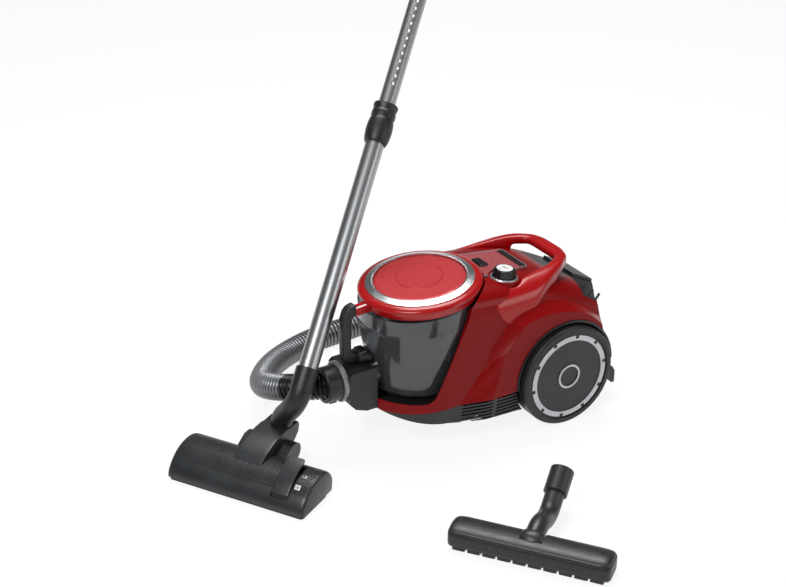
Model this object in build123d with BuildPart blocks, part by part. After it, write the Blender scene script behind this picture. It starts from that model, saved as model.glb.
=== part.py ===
from build123d import *
import math
import os

# Bagless canister vacuum cleaner with a telescopic wand, a floor nozzle and a hard-floor nozzle.
# Millimetres. Origin on the floor under the middle of the rear axle, +Z up, the hose inlet at -X.

os.makedirs("parts", exist_ok=True)

# ------------------------------------------------------------------ driving dimensions
RUN_FIT = 0.05          # radial clearance of a shaft that turns or slides in its bore
SEAM = 0.4              # gap between neighbouring pieces that move apart
WALL = 3.0              # wall of the moulded housings

WHEEL_R = 95.5
WHEEL_WIDTH = 42.0
WHEEL_FACE_Y = 143.4    # outer face of a rear wheel
TYRE_THICKNESS = 11.5
AXLE_R = 6.0
TRIM_R = 79.8           # bright ring on the wheel's face
TRIM_BORE_R = 70.3
HUB_TRIM_R = 23.2
NOTCH_COUNT = 10        # notches in the bright ring

BODY_HALF_WIDTH = 110.0
BODY_REAR_X = 150.0
BASE_Z = 40.0           # underside of the base housing
SPLIT_Z = 94.0          # seam between base and upper housing, above the axle
SPLIT_RISE = 0.048      # rise of that seam per millimetre towards the rear

BIN_X = -231.0          # axis of the dust bin
BIN_R = 105.0
BIN_FOOT_R = 89.0
BIN_FLOOR_Z = 100.0
BIN_WALL = 2.5
BIN_CLEARANCE = 2.5

LID_X = -227.0          # centre of the lid's ring plane
LID_Z = 288.0
LID_TILT = 5.9
LID_R = 110.0
LID_DEPTH = 23.0        # from the ring plane down to the lid's lower edge
RING_R = 96.2
RING_BORE_R = 81.9

INLET_Z = 131.0         # height of the hose inlet's axis
INLET_FACE_X = -389.0
CUFF_R = 32.0
CUFF_LENGTH = 28.0
HOSE_R = 24.0
HOSE_BORE_R = 20.5

NOZZLE_X = -626.2       # middle of the floor nozzle's front edge
NOZZLE_Y = -57.8
NOZZLE_TURN = 31.1      # heading of the nozzle's back, degrees from +X
NOZZLE_WIDTH = 268.0
NOZZLE_BACK = 101.0      # depth of the floor nozzle, from its front edge
NOZZLE_HEIGHT = 50.0
WAND_R = 17.0
WAND_WALL = 0.9
WAND_INNER_R = 15.25    # outside radius of the upper, sliding tube
WAND_RISE = 46.0        # elevation of the wand
WAND_HEADING = 36.3
WAND_LENGTH = 1036.0    # from the socket's foot to the top end

PARQUET_X = -318.0      # middle of the hard-floor nozzle's front edge
PARQUET_Y = -465.0
PARQUET_TURN = 36.9
PARQUET_WIDTH = 268.0
PARQUET_DEPTH = 54.0

# ------------------------------------------------------------------ values that follow
split_plane = Plane(origin=(0, 0, SPLIT_Z), z_dir=(-SPLIT_RISE, 0, 1))
well_r = WHEEL_R + 4.0
arch_r = well_r + 4.8
wheel_inner_y = WHEEL_FACE_Y - WHEEL_WIDTH
well_y = wheel_inner_y - 3.0
arch_y = 112.0
haunch_y = 129.5
bin_cavity_r = BIN_R + BIN_CLEARANCE
tilt = math.radians(LID_TILT)
lid_normal = Vector(-math.sin(tilt), 0, math.cos(tilt))
lid_forward = Vector(math.cos(tilt), 0, math.sin(tilt))
lid_plane = Plane(origin=(LID_X, 0, LID_Z), x_dir=lid_forward, z_dir=lid_normal)
lid_profile = Plane(origin=(LID_X, 0, LID_Z), x_dir=lid_forward, z_dir=(0, -1, 0))
lid_axis = Axis((LID_X, 0, LID_Z), lid_normal)
bin_axis = Axis((BIN_X, 0, 0), (0, 0, 1))
rear_slant = Plane(origin=(BODY_REAR_X + 3, 0, 50), z_dir=(1, 0, 0.22))
rear_corners = [
    Plane(origin=(BODY_REAR_X - 46, side * 80, 184), z_dir=(1, side * 0.567, 0.252)) for side in (-1, 1)
]


def heading(degrees):
    """Unit vector on the floor at this angle from +X."""
    return Vector(math.cos(math.radians(degrees)), math.sin(math.radians(degrees)), 0)


def local_point(base, turn, back, lateral, height):
    """World point of a nozzle's own place: back from its front edge, lateral and up."""
    along = heading(turn)
    side = heading(turn - 90)
    return Vector(*base, 0) + along * back + side * lateral + Vector(0, 0, height)


def side_plane(base, turn, lateral):
    """Plane across a nozzle at a lateral place: x runs back, y runs up."""
    return Plane(
        origin=local_point(base, turn, 0, lateral, 0), x_dir=heading(turn), z_dir=heading(turn - 90)
    )


def floor_plane(base, turn, height):
    """Horizontal plane of a nozzle: x runs back, y runs against the lateral direction."""
    return Plane(origin=local_point(base, turn, 0, 0, height), x_dir=heading(turn), z_dir=(0, 0, 1))


def wheel_plane(side, y):
    """Plane across the wheel axle at this distance from the middle, facing outwards."""
    return Plane(origin=(0, side * y, WHEEL_R), x_dir=(1, 0, 0), z_dir=(0, side, 0))


def save(builder, name):
    """Label a finished piece and write its file."""
    builder.part.label = name
    export_step(builder.part, f"parts/{name}.step")


# ------------------------------------------------------------------ form of the canister
# One station of the body: place, half width, top of the straight side, crown height, half width of
# the flat crown.
BODY_STATIONS = (
    (-365, BODY_HALF_WIDTH, 232, 290, 62),
    (-231, BODY_HALF_WIDTH, 236, 289, 62),
    (-150, BODY_HALF_WIDTH + 1, 236, 286, 60),
    (-90, BODY_HALF_WIDTH + 1, 230, 281, 58),
    (-30, BODY_HALF_WIDTH + 1, 214, 273, 54),
    (20, BODY_HALF_WIDTH, 196, 259, 48),
    (70, BODY_HALF_WIDTH - 3, 176, 236, 44),
    (115, BODY_HALF_WIDTH - 10, 158, 213, 40),
    (BODY_REAR_X, BODY_HALF_WIDTH - 24, 140, 190, 34),
)
# The haunch over a rear wheel: its foot line on the core and its crest line further out. Each row
# is a place along and up, then the way out of the form.
HAUNCH_FOOT = (
    (-250, 78, -0.6, 0.0), (-172, 141, -0.7, 0.7), (-126, 222, -0.8, 0.6), (-60, 247, 0.0, 1.0),
    (0, 236, 0.2, 1.0), (56, 208, 0.4, 0.9), (98, 172, 0.7, 0.7), (126, 122, 0.9, 0.3),
    (132, 78, 1.0, 0.0),
)
HAUNCH_CREST = (
    (-158, 78, -1.0, 0.0), (-130, 170, -0.9, 0.4), (-94, 213, -0.6, 0.8), (-40, 224, 0.0, 1.0),
    (6, 218, 0.2, 1.0), (50, 199, 0.4, 0.9), (88, 160, 0.7, 0.7), (108, 120, 0.9, 0.3),
    (114, 78, 1.0, 0.0),
)


def body_section(half_width, side_top, crown, crown_half, foot):
    """Closed outline across the body: straight sides, curved shoulders and a flat crown."""
    Line((-half_width, foot), (half_width, foot))
    Line((half_width, foot), (half_width, side_top))
    Spline((half_width, side_top), (crown_half, crown), tangents=((0, 1), (-1, 0)))
    Line((crown_half, crown), (-crown_half, crown))
    Spline((-crown_half, crown), (-half_width, side_top), tangents=((-1, 0), (0, -1)))
    Line((-half_width, side_top), (-half_width, foot))


def haunch_outline(rows, inset):
    """Closed outline of a haunch at one distance from the middle."""
    points = [(x - inset * out_x, z - inset * out_z) for x, z, out_x, out_z in rows]
    Polyline(*points[:3])
    Spline(*points[2:])
    Line(points[-1], points[0])


def body_form(inset):
    """Solid form of the body, drawn in by one wall thickness for its hollow."""
    foot = 30.0
    with BuildPart() as form:
        for x, half_width, side_top, crown, crown_half in BODY_STATIONS:
            drawn_in = -inset if x == BODY_REAR_X else (inset if x < -300 else 0)
            with BuildSketch(Plane.YZ.offset(x + drawn_in)):
                with BuildLine():
                    body_section(half_width - inset, side_top, crown - inset, crown_half, foot)
                make_face()
        loft()
    with BuildPart() as haunches:
        for y, rows in ((100.0 - inset, HAUNCH_FOOT), (haunch_y - inset, HAUNCH_CREST)):
            with BuildSketch(Plane.XZ.offset(y)):
                with BuildLine():
                    haunch_outline(rows, inset)
                make_face()
        loft(ruled=True)
        mirror(about=Plane.XZ)
    with BuildPart() as plan:
        with BuildSketch(Plane.XY.offset(foot)):
            with Locations((BIN_X, 0)):
                Circle(BODY_HALF_WIDTH - inset)
            with BuildLine():
                rear = BODY_REAR_X + 1 - inset
                wide = haunch_y + 4 - inset
                Polyline(
                    (BIN_X, -wide), (62, -wide), (104, -wide + 3), (rear - 18, -84), (rear, -48), (rear, 48),
                    (rear - 18, 84), (104, wide - 3), (62, wide), (BIN_X, wide), close=True,
                )
            make_face()
            fillet(vertices().filter_by_position(Axis.X, 100, rear + 1), 22 - inset)
        extrude(amount=300)
        split(bisect_by=rear_slant.offset(-inset), keep=Keep.BOTTOM)
        for corner in rear_corners:
            split(bisect_by=corner.offset(-inset), keep=Keep.BOTTOM)
    with BuildPart() as whole:
        add(form.part)
        add(haunches.part)
        add(plan.part, mode=Mode.INTERSECT)
    return whole.part


def wells(radius, inner_y, outer_y=160.0):
    """The two wheel wells as plain cylinders."""
    with BuildPart() as tool:
        for side in (-1, 1):
            with BuildSketch(wheel_plane(side, inner_y)):
                Circle(radius)
            extrude(amount=outer_y - inner_y)
    return tool.part


outer_form = body_form(0)
inner_form = body_form(WALL)

with BuildPart() as bin_recess:
    with BuildSketch(Plane.XY.offset(BIN_FLOOR_Z - 2)):
        with Locations((BIN_X, 0)):
            Circle(bin_cavity_r)
    extrude(amount=250)
    with BuildSketch(Plane.XY.offset(LID_Z - LID_DEPTH - 3)):
        with Locations((LID_X, 0)):
            Circle(LID_R + 3)
    extrude(amount=100)

# The front of the body is open beside the bin: everything ahead of this slanted line is left off.
with BuildPart() as front_opening:
    with BuildSketch(Plane.XZ.offset(-150)):
        with BuildLine():
            Polyline((-420, 98), (-262, 98), (-176, 290), (-172, 320), (-420, 320), close=True)
        make_face()
        fillet(vertices().sort_by_distance((-262, 98, 0))[0:1], 24)
    extrude(amount=300)

with BuildPart() as hollow:
    add(inner_form)
    add(wells(well_r + WALL, well_y - WALL), mode=Mode.SUBTRACT)
    add(wells(arch_r + WALL, arch_y - WALL), mode=Mode.SUBTRACT)
    with BuildSketch(Plane.XY.offset(BIN_FLOOR_Z - 2 - WALL)):
        with Locations((BIN_X, 0)):
            Circle(bin_cavity_r + WALL)
        with Locations((-300, 0)):
            Rectangle(160, 260)
    extrude(amount=250, mode=Mode.SUBTRACT)

with BuildPart() as shell:
    add(outer_form)
    add(hollow.part, mode=Mode.SUBTRACT)
    add(bin_recess.part, mode=Mode.SUBTRACT)
    add(front_opening.part, mode=Mode.SUBTRACT)
    add(wells(well_r, well_y), mode=Mode.SUBTRACT)
    add(wells(arch_r, arch_y), mode=Mode.SUBTRACT)
    split(bisect_by=split_plane, keep=Keep.TOP)

# ------------------------------------------------------------------ canister: housings
COVER_X = 72.0              # front edge of the hinged filter cover
COVER_REAR_X = 117.0
COVER_HALF_WIDTH = 44.0
COVER_TOP = 241.0           # height of the cover's front edge
COVER_FALL = 0.5            # fall of the cover per millimetre towards the rear
COVER_DEPTH = 14.0
COVER_HINGE_DROP = 20.0     # the cover's hinge line below its top face, just behind its rear edge
COVER_BARREL_R = 2.4
BAY_X = 58.0                # front wall of the plug bay
BAY_Y = -74.0
BAY_HALF_WIDTH = 23.0
BAY_FLOOR_Z = 152.0
PANEL_FRONT_X = -130.0
PANEL_REAR_X = -26.0
PANEL_FRONT_HALF = 51.0
PANEL_REAR_HALF = 42.0
PANEL_TOP = 287.0           # height of the panel's front edge
PANEL_FALL = 4.7            # slope of the panel in degrees
PANEL_DEPTH = 10.0
KNOB_X = -91.0
KNOB_Y = -60.0
KNOB_R = 20.0
KNOB_HEIGHT = 16.0
KNOB_BASE_Z = 281.5
KNOB_STEM_R = 4.0
DISH_R = 28.5
REWIND_X = -100.0
REWIND_Y = 3.0
REWIND_TRAVEL = 4.0
HANDLE_REAR_X = 60.0        # carry handle
HANDLE_TOP = 288.0          # crown of the loop, above the body's own crown
HANDLE_SINK = 6.5           # how much lower its arms lie where they leave the lid
HANDLE_GRIP = 27.0
LOOP_FRONT_X = 8.0          # the loop is free behind this line
LOOP_CLEAR_Z = 275.0        # underside of the loop along its inner edge
LOOP_FALL = 0.5             # fall of the underside per millimetre outwards

cover_slope = math.atan(COVER_FALL)
cover_side = Plane(
    origin=(COVER_X, 0, COVER_TOP),
    x_dir=(math.cos(cover_slope), 0, -math.sin(cover_slope)),
    z_dir=(0, -1, 0),
)
cover_length = (COVER_REAR_X - COVER_X) / math.cos(cover_slope)
panel_angle = math.radians(PANEL_FALL)
panel_plane = Plane(
    origin=(PANEL_FRONT_X, 0, PANEL_TOP),
    x_dir=(math.cos(panel_angle), 0, -math.sin(panel_angle)),
    z_dir=(math.sin(panel_angle), 0, math.cos(panel_angle)),
)
panel_length = (PANEL_REAR_X - PANEL_FRONT_X) / math.cos(panel_angle)
knob_plane = Plane(
    origin=(KNOB_X, KNOB_Y, KNOB_BASE_Z), x_dir=panel_plane.x_dir, z_dir=panel_plane.z_dir
)
rewind_plane = Plane(
    origin=(REWIND_X, REWIND_Y, PANEL_TOP - (REWIND_X - PANEL_FRONT_X) * math.tan(panel_angle)),
    x_dir=panel_plane.x_dir,
    z_dir=panel_plane.z_dir,
)


def panel_outline(inset):
    """Trapezium of the control panel, drawn in by this much."""
    Polyline(
        (0, inset - PANEL_FRONT_HALF), (panel_length - inset, inset - PANEL_REAR_HALF),
        (panel_length - inset, PANEL_REAR_HALF - inset), (0, PANEL_FRONT_HALF - inset), close=True,
    )


def handle_inside():
    """Outline of the open space that the carry handle runs round."""
    inner_x = HANDLE_REAR_X - HANDLE_GRIP
    Polyline(
        (-160, -80), (-60, -74), (0, -63), (inner_x, -44), (inner_x, 44), (0, 63), (-60, 74),
        (-160, 80), close=True,
    )


with BuildPart() as loop_room:
    with BuildSketch(Plane.XY.offset(LOOP_CLEAR_Z)):
        with BuildLine():
            handle_inside()
        make_face()
    with BuildSketch(Plane.XY.offset(LOOP_CLEAR_Z - 50 * LOOP_FALL)):
        with BuildLine():
            handle_inside()
        make_face()
        offset(amount=50, kind=Kind.INTERSECTION)
    loft(ruled=True)
    with BuildSketch(Plane.XY.offset(200)):
        with Locations((LOOP_FRONT_X, 0)):
            Rectangle(200, 300, align=(Align.MIN, Align.CENTER))
    extrude(amount=100, mode=Mode.INTERSECT)

# The arms rise towards the loop, so the handle's crown is lofted between sections across the body.
with BuildPart() as arm_form:
    for x, sink in ((-170, HANDLE_SINK), (-62, HANDLE_SINK - 1), (22, 0), (110, 3)):
        with BuildSketch(Plane.YZ.offset(x)):
            with BuildLine():
                body_section(113, 228, HANDLE_TOP - sink, 60, 180)
            make_face()
    loft()

with BuildPart() as handle_form:
    with BuildSketch(Plane.XY.offset(190)):
        with BuildLine():
            Polyline(
                (-150, -116), (-60, -115), (-24, -99), (20, -77), (HANDLE_REAR_X - 9, -52),
                (HANDLE_REAR_X - 1, -28), (HANDLE_REAR_X - 1, 28), (HANDLE_REAR_X - 9, 52), (20, 77),
                (-24, 99), (-60, 115), (-150, 116), close=True,
            )
        make_face()
        fillet(vertices().filter_by_position(Axis.X, -80, HANDLE_REAR_X + 1), 22)
    extrude(amount=120)
    with BuildSketch(Plane.XY.offset(190)):
        with BuildLine():
            handle_inside()
        make_face()
        fillet(vertices().filter_by_position(Axis.X, -80, HANDLE_REAR_X), 16)
    extrude(amount=120, mode=Mode.SUBTRACT)
    with BuildSketch(Plane.XZ.offset(-150)):
        with BuildLine():
            Polyline(
                (-142, 268), (-137, 252), (-126, 229), (-112, 214), (-100, 211), (-82, 213), (-52, 226),
                (-14, 241),
            )
            Spline((-14, 241), (20, 253), (48, 257), (80, 257), tangents=((3, 1), (1, 0)))
            Polyline((80, 257), (80, 300), (-142, 300), (-142, 268))
        make_face()
    extrude(amount=300, mode=Mode.INTERSECT)
    add(arm_form.part, mode=Mode.INTERSECT)
    add(loop_room.part, mode=Mode.SUBTRACT)

with BuildPart() as cover_form:
    with BuildSketch(cover_side.offset(-COVER_HALF_WIDTH)):
        with BuildLine():
            Polyline(
                (0, 0), (cover_length, 0), (cover_length + 5, -10), (cover_length + 1, -COVER_DEPTH - 12),
                (cover_length - 7, -COVER_DEPTH - 12), (cover_length - 12, -COVER_DEPTH), (0, -COVER_DEPTH),
                close=True,
            )
        make_face()
    extrude(amount=2 * COVER_HALF_WIDTH)

with BuildPart() as cover_room:
    with BuildSketch(cover_side.offset(-COVER_HALF_WIDTH - SEAM)):
        with Locations((-SEAM, -COVER_DEPTH - SEAM)):
            Rectangle(cover_length + 60, 70, align=(Align.MIN, Align.MIN))
        with Locations((cover_length - 12 - SEAM, -COVER_DEPTH - 12 - SEAM)):
            Rectangle(60, 60, align=(Align.MIN, Align.MIN))
    extrude(amount=2 * (COVER_HALF_WIDTH + SEAM))

with BuildPart() as bay_form:
    with BuildSketch(Plane.XY.offset(BAY_FLOOR_Z)):
        with Locations((BAY_X + 60, BAY_Y)):
            Rectangle(120, 2 * BAY_HALF_WIDTH)
    extrude(amount=150)

with BuildPart() as panel_form:
    with BuildSketch(panel_plane.offset(-PANEL_DEPTH)):
        with BuildLine():
            panel_outline(0)
        make_face()
        fillet(vertices().group_by(Axis.X)[-1], 8)
    extrude(amount=PANEL_DEPTH)
    add(bin_recess.part, mode=Mode.SUBTRACT)

with BuildPart() as inlet_form:
    with BuildSketch(Plane.XZ.offset(-38)):
        with BuildLine():
            Polyline(
                (INLET_FACE_X, 100), (INLET_FACE_X, 154), (INLET_FACE_X + 6, 159), (-300, 161), (-300, 80),
                (-356, 80), (-378, 88), close=True,
            )
        make_face()
    extrude(amount=76)

# The black rear panel takes everything behind one slanted line, and the strip in front of the cover.
with BuildPart() as rear_zone:
    with BuildSketch(Plane.XZ.offset(-160)):
        with BuildLine():
            Polyline((124, 60), (108, 172), (180, 172), (180, 60), close=True)
        make_face()
    extrude(amount=320)
    with BuildSketch(Plane.XZ.offset(-52)):
        with BuildLine():
            Polyline((108, 172), (40, 200), (22, 240), (22, 300), (180, 300), (180, 172), close=True)
        make_face()
    extrude(amount=104)

with BuildPart() as axle_bores:
    for side in (-1, 1):
        with BuildSketch(wheel_plane(side, well_y - WALL - 1)):
            Circle(AXLE_R)
        extrude(amount=WALL + 10)

with BuildPart() as housing_cuts:
    add(handle_form.part)
    add(inlet_form.part)
    add(bay_form.part)
    add(cover_room.part)
    add(axle_bores.part)

with BuildPart() as upper_housing:
    add(shell.part)
    add(rear_zone.part, mode=Mode.SUBTRACT)
    add(housing_cuts.part, mode=Mode.SUBTRACT)
    add(panel_form.part, mode=Mode.SUBTRACT)
    with BuildSketch(knob_plane.offset(-20)):
        Circle(DISH_R)
    extrude(amount=60, mode=Mode.SUBTRACT)
    with BuildSketch(knob_plane.offset(-20)):
        Circle(DISH_R)
        Circle(KNOB_STEM_R + RUN_FIT, mode=Mode.SUBTRACT)
    extrude(amount=20 - SEAM)
save(upper_housing, "upper_housing")

with BuildPart() as carry_handle:
    add(handle_form.part)
    add(inner_form, mode=Mode.SUBTRACT)
    add(bin_recess.part, mode=Mode.SUBTRACT)
    add(front_opening.part, mode=Mode.SUBTRACT)
    with BuildSketch(knob_plane.offset(-20)):
        Circle(DISH_R)
    extrude(amount=80, mode=Mode.SUBTRACT)
save(carry_handle, "carry_handle")

with BuildPart() as control_panel:
    add(panel_form.part)
    with BuildSketch(panel_plane.offset(-2)):
        with BuildLine():
            panel_outline(0)
        make_face()
        with BuildLine():
            panel_outline(2.5)
        make_face(mode=Mode.SUBTRACT)
        with Locations((panel_length - 9, 0)):
            Rectangle(13, 2 * PANEL_REAR_HALF - 9)
    extrude(amount=10, mode=Mode.SUBTRACT)
    with BuildSketch(rewind_plane.offset(-PANEL_DEPTH - 5)):
        RectangleRounded(19, 33, 4)
    extrude(amount=30, mode=Mode.SUBTRACT)
    with BuildSketch(knob_plane.offset(-30)):
        Circle(DISH_R)
    extrude(amount=60, mode=Mode.SUBTRACT)
save(control_panel, "control_panel")

with BuildPart() as panel_trim:
    with BuildSketch(panel_plane.offset(-2)):
        with BuildLine():
            panel_outline(0)
        make_face()
        fillet(vertices().group_by(Axis.X)[-1], 8)
        with BuildLine():
            panel_outline(2.5)
        make_face(mode=Mode.SUBTRACT)
    extrude(amount=2.8)
    add(bin_recess.part, mode=Mode.SUBTRACT)
    with BuildSketch(knob_plane.offset(-30)):
        Circle(DISH_R)
    extrude(amount=60, mode=Mode.SUBTRACT)
save(panel_trim, "panel_trim")

with BuildPart() as status_window:
    with BuildSketch(panel_plane.offset(-2)):
        with Locations((panel_length - 9, 0)):
            RectangleRounded(12.6, 2 * PANEL_REAR_HALF - 9.4, 3)
    extrude(amount=2.6)
save(status_window, "status_window")

with BuildPart() as inlet_block:
    add(inlet_form.part)
    with BuildSketch(Plane.XY.offset(40)):
        with Locations((BIN_X, 0)):
            Circle(BODY_HALF_WIDTH + 0.2)
    extrude(amount=160, mode=Mode.SUBTRACT)
    with BuildSketch(Plane.YZ.offset(INLET_FACE_X - 1)):
        with Locations((0, INLET_Z)):
            Circle(CUFF_R - 4)
    extrude(amount=20, mode=Mode.SUBTRACT)
    with BuildSketch(Plane.YZ.offset(INLET_FACE_X - 1)):
        with Locations((0, INLET_Z)):
            Circle(HOSE_R - 2)
    extrude(amount=120, mode=Mode.SUBTRACT)
save(inlet_block, "inlet_block")

with BuildPart() as inlet_ring:
    with BuildSketch(Plane.YZ.offset(INLET_FACE_X - 8)):
        with Locations((0, INLET_Z)):
            Circle(CUFF_R + 4.8)
            Circle(CUFF_R + 0.4, mode=Mode.SUBTRACT)
    extrude(amount=8)
    chamfer(edges().filter_by(GeomType.CIRCLE).group_by(Axis.X)[0].sort_by(SortBy.RADIUS)[-1], 2)
save(inlet_ring, "inlet_ring")

with BuildPart() as wheel_arch_trims:
    for side in (-1, 1):
        with BuildSketch(wheel_plane(side, arch_y + 0.2)):
            Circle(arch_r - 0.2)
            Circle(well_r + 0.2, mode=Mode.SUBTRACT)
        extrude(amount=haunch_y + 1.5 - arch_y)
    split(bisect_by=split_plane.offset(0.2), keep=Keep.TOP)
save(wheel_arch_trims, "wheel_arch_trims")


# ------------------------------------------------------------------ canister: base
def base_plan(inset):
    """Closed plan outline of the base housing, drawn in by this much."""
    half = BODY_HALF_WIDTH - inset
    rear = BODY_REAR_X - inset
    ThreePointArc((BIN_X, -half), (BIN_X - half, 0), (BIN_X, half))
    Polyline(
        (BIN_X, half), (-160, 126 - inset), (62, 128 - inset), (102, 126 - inset), (rear - 18, 84),
        (rear, 48), (rear, -48), (rear - 18, -84), (102, inset - 126), (62, inset - 128),
        (-160, inset - 126), (BIN_X, -half),
    )


def base_solid(inset, foot):
    """Solid of the base, drawn in towards its foot."""
    with BuildPart() as solid:
        for height, drawn_in in ((foot, inset + BASE_LEAN), (SPLIT_Z + 8, inset)):
            with BuildSketch(Plane.XY.offset(height)):
                with BuildLine():
                    base_plan(drawn_in)
                make_face()
        loft(ruled=True)
    return solid.part


BASE_LEAN = 9.0
CASTER_X = -228.0
CASTER_TRAIL = 12.0
CASTER_R = 17.0
CASTER_WIDTH = 20.0
CASTER_TOP = 62.0
CASTER_AXLE_R = 2.5
CASTER_POCKET_R = 36.0
REEL_X = 74.0
REEL_Z = 108.0
REEL_R = 54.0
REEL_WIDTH = 56.0
REEL_SHAFT_R = 8.0
MOTOR_Z = 138.0
MOTOR_R = 54.0
MOTOR_FRONT_X = -104.0
MOTOR_LENGTH = 92.0
MOUNT_R = 60.0
LOUVRE_COUNT = 6
CASTER_STEM_R = 6.0

with BuildPart() as under_cut:
    with BuildSketch(Plane.XZ.offset(-160)):
        with BuildLine():
            Spline((-400, 108), (-352, 83.5), (-296, 62.5), (-200, BASE_Z + 5.5), (-90, BASE_Z + 0.5))
            Polyline((-90, BASE_Z + 0.5), (-90, 0), (-400, 0), (-400, 108))
        make_face()
    extrude(amount=320)

with BuildPart() as under_plate:
    with BuildSketch(Plane.XZ.offset(-100)):
        with BuildLine():
            Spline((-352, 84), (-296, 63), (-200, BASE_Z + 6), (-90, BASE_Z + 1))
            Line((-90, BASE_Z + 1), (-90, BASE_Z + WALL + 1))
            Spline((-90, BASE_Z + WALL + 1), (-200, BASE_Z + 10), (-296, 68), (-352, 90))
            Line((-352, 90), (-352, 84))
        make_face()
    extrude(amount=200)
    add(base_solid(1, BASE_Z), mode=Mode.INTERSECT)

SCREW_PLACES = ((-190, 84), (-190, -84), (-60, 70), (-60, -70), (104, 62), (104, -62))
with BuildPart() as base_housing:
    add(base_solid(0, BASE_Z))
    add(base_solid(WALL, BASE_Z + WALL), mode=Mode.SUBTRACT)
    add(under_plate.part)
    with BuildSketch(Plane.XY.offset(CASTER_TOP)):
        with Locations((CASTER_X, 0)):
            Circle(CASTER_POCKET_R + 4)
            Circle(CASTER_STEM_R + RUN_FIT, mode=Mode.SUBTRACT)
    extrude(amount=8)
    with BuildSketch(Plane.XY.offset(45)):
        with Locations((CASTER_X, 0)):
            Circle(CASTER_POCKET_R)
    extrude(amount=CASTER_TOP - 45, mode=Mode.SUBTRACT)
    with BuildSketch(Plane.XY.offset(48)):
        with Locations((CASTER_X, 0)):
            Circle(CASTER_POCKET_R + 4)
            Circle(CASTER_POCKET_R, mode=Mode.SUBTRACT)
    extrude(amount=CASTER_TOP - 48)
    add(under_cut.part, mode=Mode.SUBTRACT)
    add(wells(well_r, well_y), mode=Mode.SUBTRACT)
    for side in (-1, 1):
        with BuildSketch(wheel_plane(side, well_y - WALL)):
            Circle(well_r + WALL)
        extrude(amount=WALL)
        with BuildSketch(wheel_plane(side, well_y - WALL)):
            Circle(well_r + WALL)
            Circle(well_r, mode=Mode.SUBTRACT)
        extrude(amount=haunch_y - well_y - 8)
    split(bisect_by=Plane.XY.offset(BASE_Z), keep=Keep.TOP)
    split(bisect_by=split_plane.offset(-0.2), keep=Keep.BOTTOM)
    for plane in (rear_slant, *rear_corners):
        split(bisect_by=plane, keep=Keep.BOTTOM)
    for side in (-1, 1):
        with BuildSketch(Plane.XZ.offset(side * 120 - 15)):
            with Locations((-178, 64), (-112, 64)):
                with GridLocations(0, 7.2, 1, LOUVRE_COUNT):
                    Rectangle(58, 3.2)
        extrude(amount=30, mode=Mode.SUBTRACT)
    for x in (MOTOR_FRONT_X + 8, MOTOR_FRONT_X + MOTOR_LENGTH - 16):
        with BuildSketch(Plane.YZ.offset(x)):
            with Locations((0, BASE_Z + WALL)):
                Rectangle(84, MOTOR_Z - BASE_Z - WALL - 16, align=(Align.CENTER, Align.MIN))
            with Locations((0, MOTOR_Z)):
                Circle(MOUNT_R, mode=Mode.SUBTRACT)
        extrude(amount=8)
    with BuildSketch(Plane.XZ.offset(-REEL_WIDTH / 2 - 6)):
        with Locations((REEL_X, BASE_Z + WALL)):
            Rectangle(26, REEL_Z - BASE_Z - WALL + 12, align=(Align.CENTER, Align.MIN))
    extrude(amount=REEL_WIDTH + 12)
    with BuildSketch(Plane.XZ.offset(-REEL_WIDTH / 2 - 2)):
        with Locations((REEL_X, REEL_Z)):
            Rectangle(130, 2 * REEL_R + 6)
    extrude(amount=REEL_WIDTH + 4, mode=Mode.SUBTRACT)
    with BuildSketch(Plane.XZ.offset(-REEL_WIDTH / 2 - 4)):
        with Locations((REEL_X, REEL_Z)):
            Circle(REEL_SHAFT_R)
    extrude(amount=REEL_WIDTH + 8)
    add(axle_bores.part, mode=Mode.SUBTRACT)
    with BuildSketch(Plane.XY.offset(BASE_Z - 1)):
        with Locations(*SCREW_PLACES):
            Circle(4)
    extrude(amount=2, mode=Mode.SUBTRACT)
    with BuildSketch(Plane.XZ.offset(86)):
        with BuildLine():
            Polyline((108, 62), (132, 58), (138, 48), (138, 24), (132, 24), (130, 44), (108, 46), close=True)
        make_face()
    extrude(amount=16)
save(base_housing, "base_housing")

with BuildPart() as axle_stubs:
    for side in (-1, 1):
        with BuildSketch(wheel_plane(side, well_y - WALL - 8)):
            Circle(AXLE_R)
        extrude(amount=WHEEL_FACE_Y - 12 - well_y + WALL + 8)
        with BuildSketch(wheel_plane(side, well_y - WALL - 8)):
            Circle(AXLE_R + 5)
        extrude(amount=8)
save(axle_stubs, "axle_stubs")

with BuildPart() as housing_screws:
    with BuildSketch(Plane.XY.offset(BASE_Z - 1)):
        with Locations(*SCREW_PLACES):
            Circle(4)
    extrude(amount=2)
    with BuildSketch(Plane.XY.offset(BASE_Z - 1)):
        with Locations(*SCREW_PLACES):
            RegularPolygon(1.6, 6)
    extrude(amount=1.4, mode=Mode.SUBTRACT)
save(housing_screws, "housing_screws")

# ------------------------------------------------------------------ canister: inside
with BuildPart() as motor_housing:
    with BuildSketch(Plane.YZ.offset(MOTOR_FRONT_X)):
        with Locations((0, MOTOR_Z)):
            Circle(MOTOR_R)
    extrude(amount=MOTOR_LENGTH)
    with BuildSketch(Plane.YZ.offset(MOTOR_FRONT_X + WALL)):
        with Locations((0, MOTOR_Z)):
            Circle(MOTOR_R - WALL)
    extrude(amount=28, mode=Mode.SUBTRACT)
    with BuildSketch(Plane.YZ.offset(MOTOR_FRONT_X)):
        with Locations((0, MOTOR_Z)):
            Circle(20)
    extrude(amount=WALL, mode=Mode.SUBTRACT)
    with BuildSketch(Plane.YZ.offset(MOTOR_FRONT_X + 36)):
        with Locations((0, MOTOR_Z)):
            Circle(MOTOR_R - 8)
    extrude(amount=MOTOR_LENGTH - 40, mode=Mode.SUBTRACT)
    with BuildSketch(Plane.YZ.offset(MOTOR_FRONT_X + 20)):
        with Locations((0, MOTOR_Z)):
            Circle(5 + RUN_FIT)
    extrude(amount=20, mode=Mode.SUBTRACT)
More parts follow.
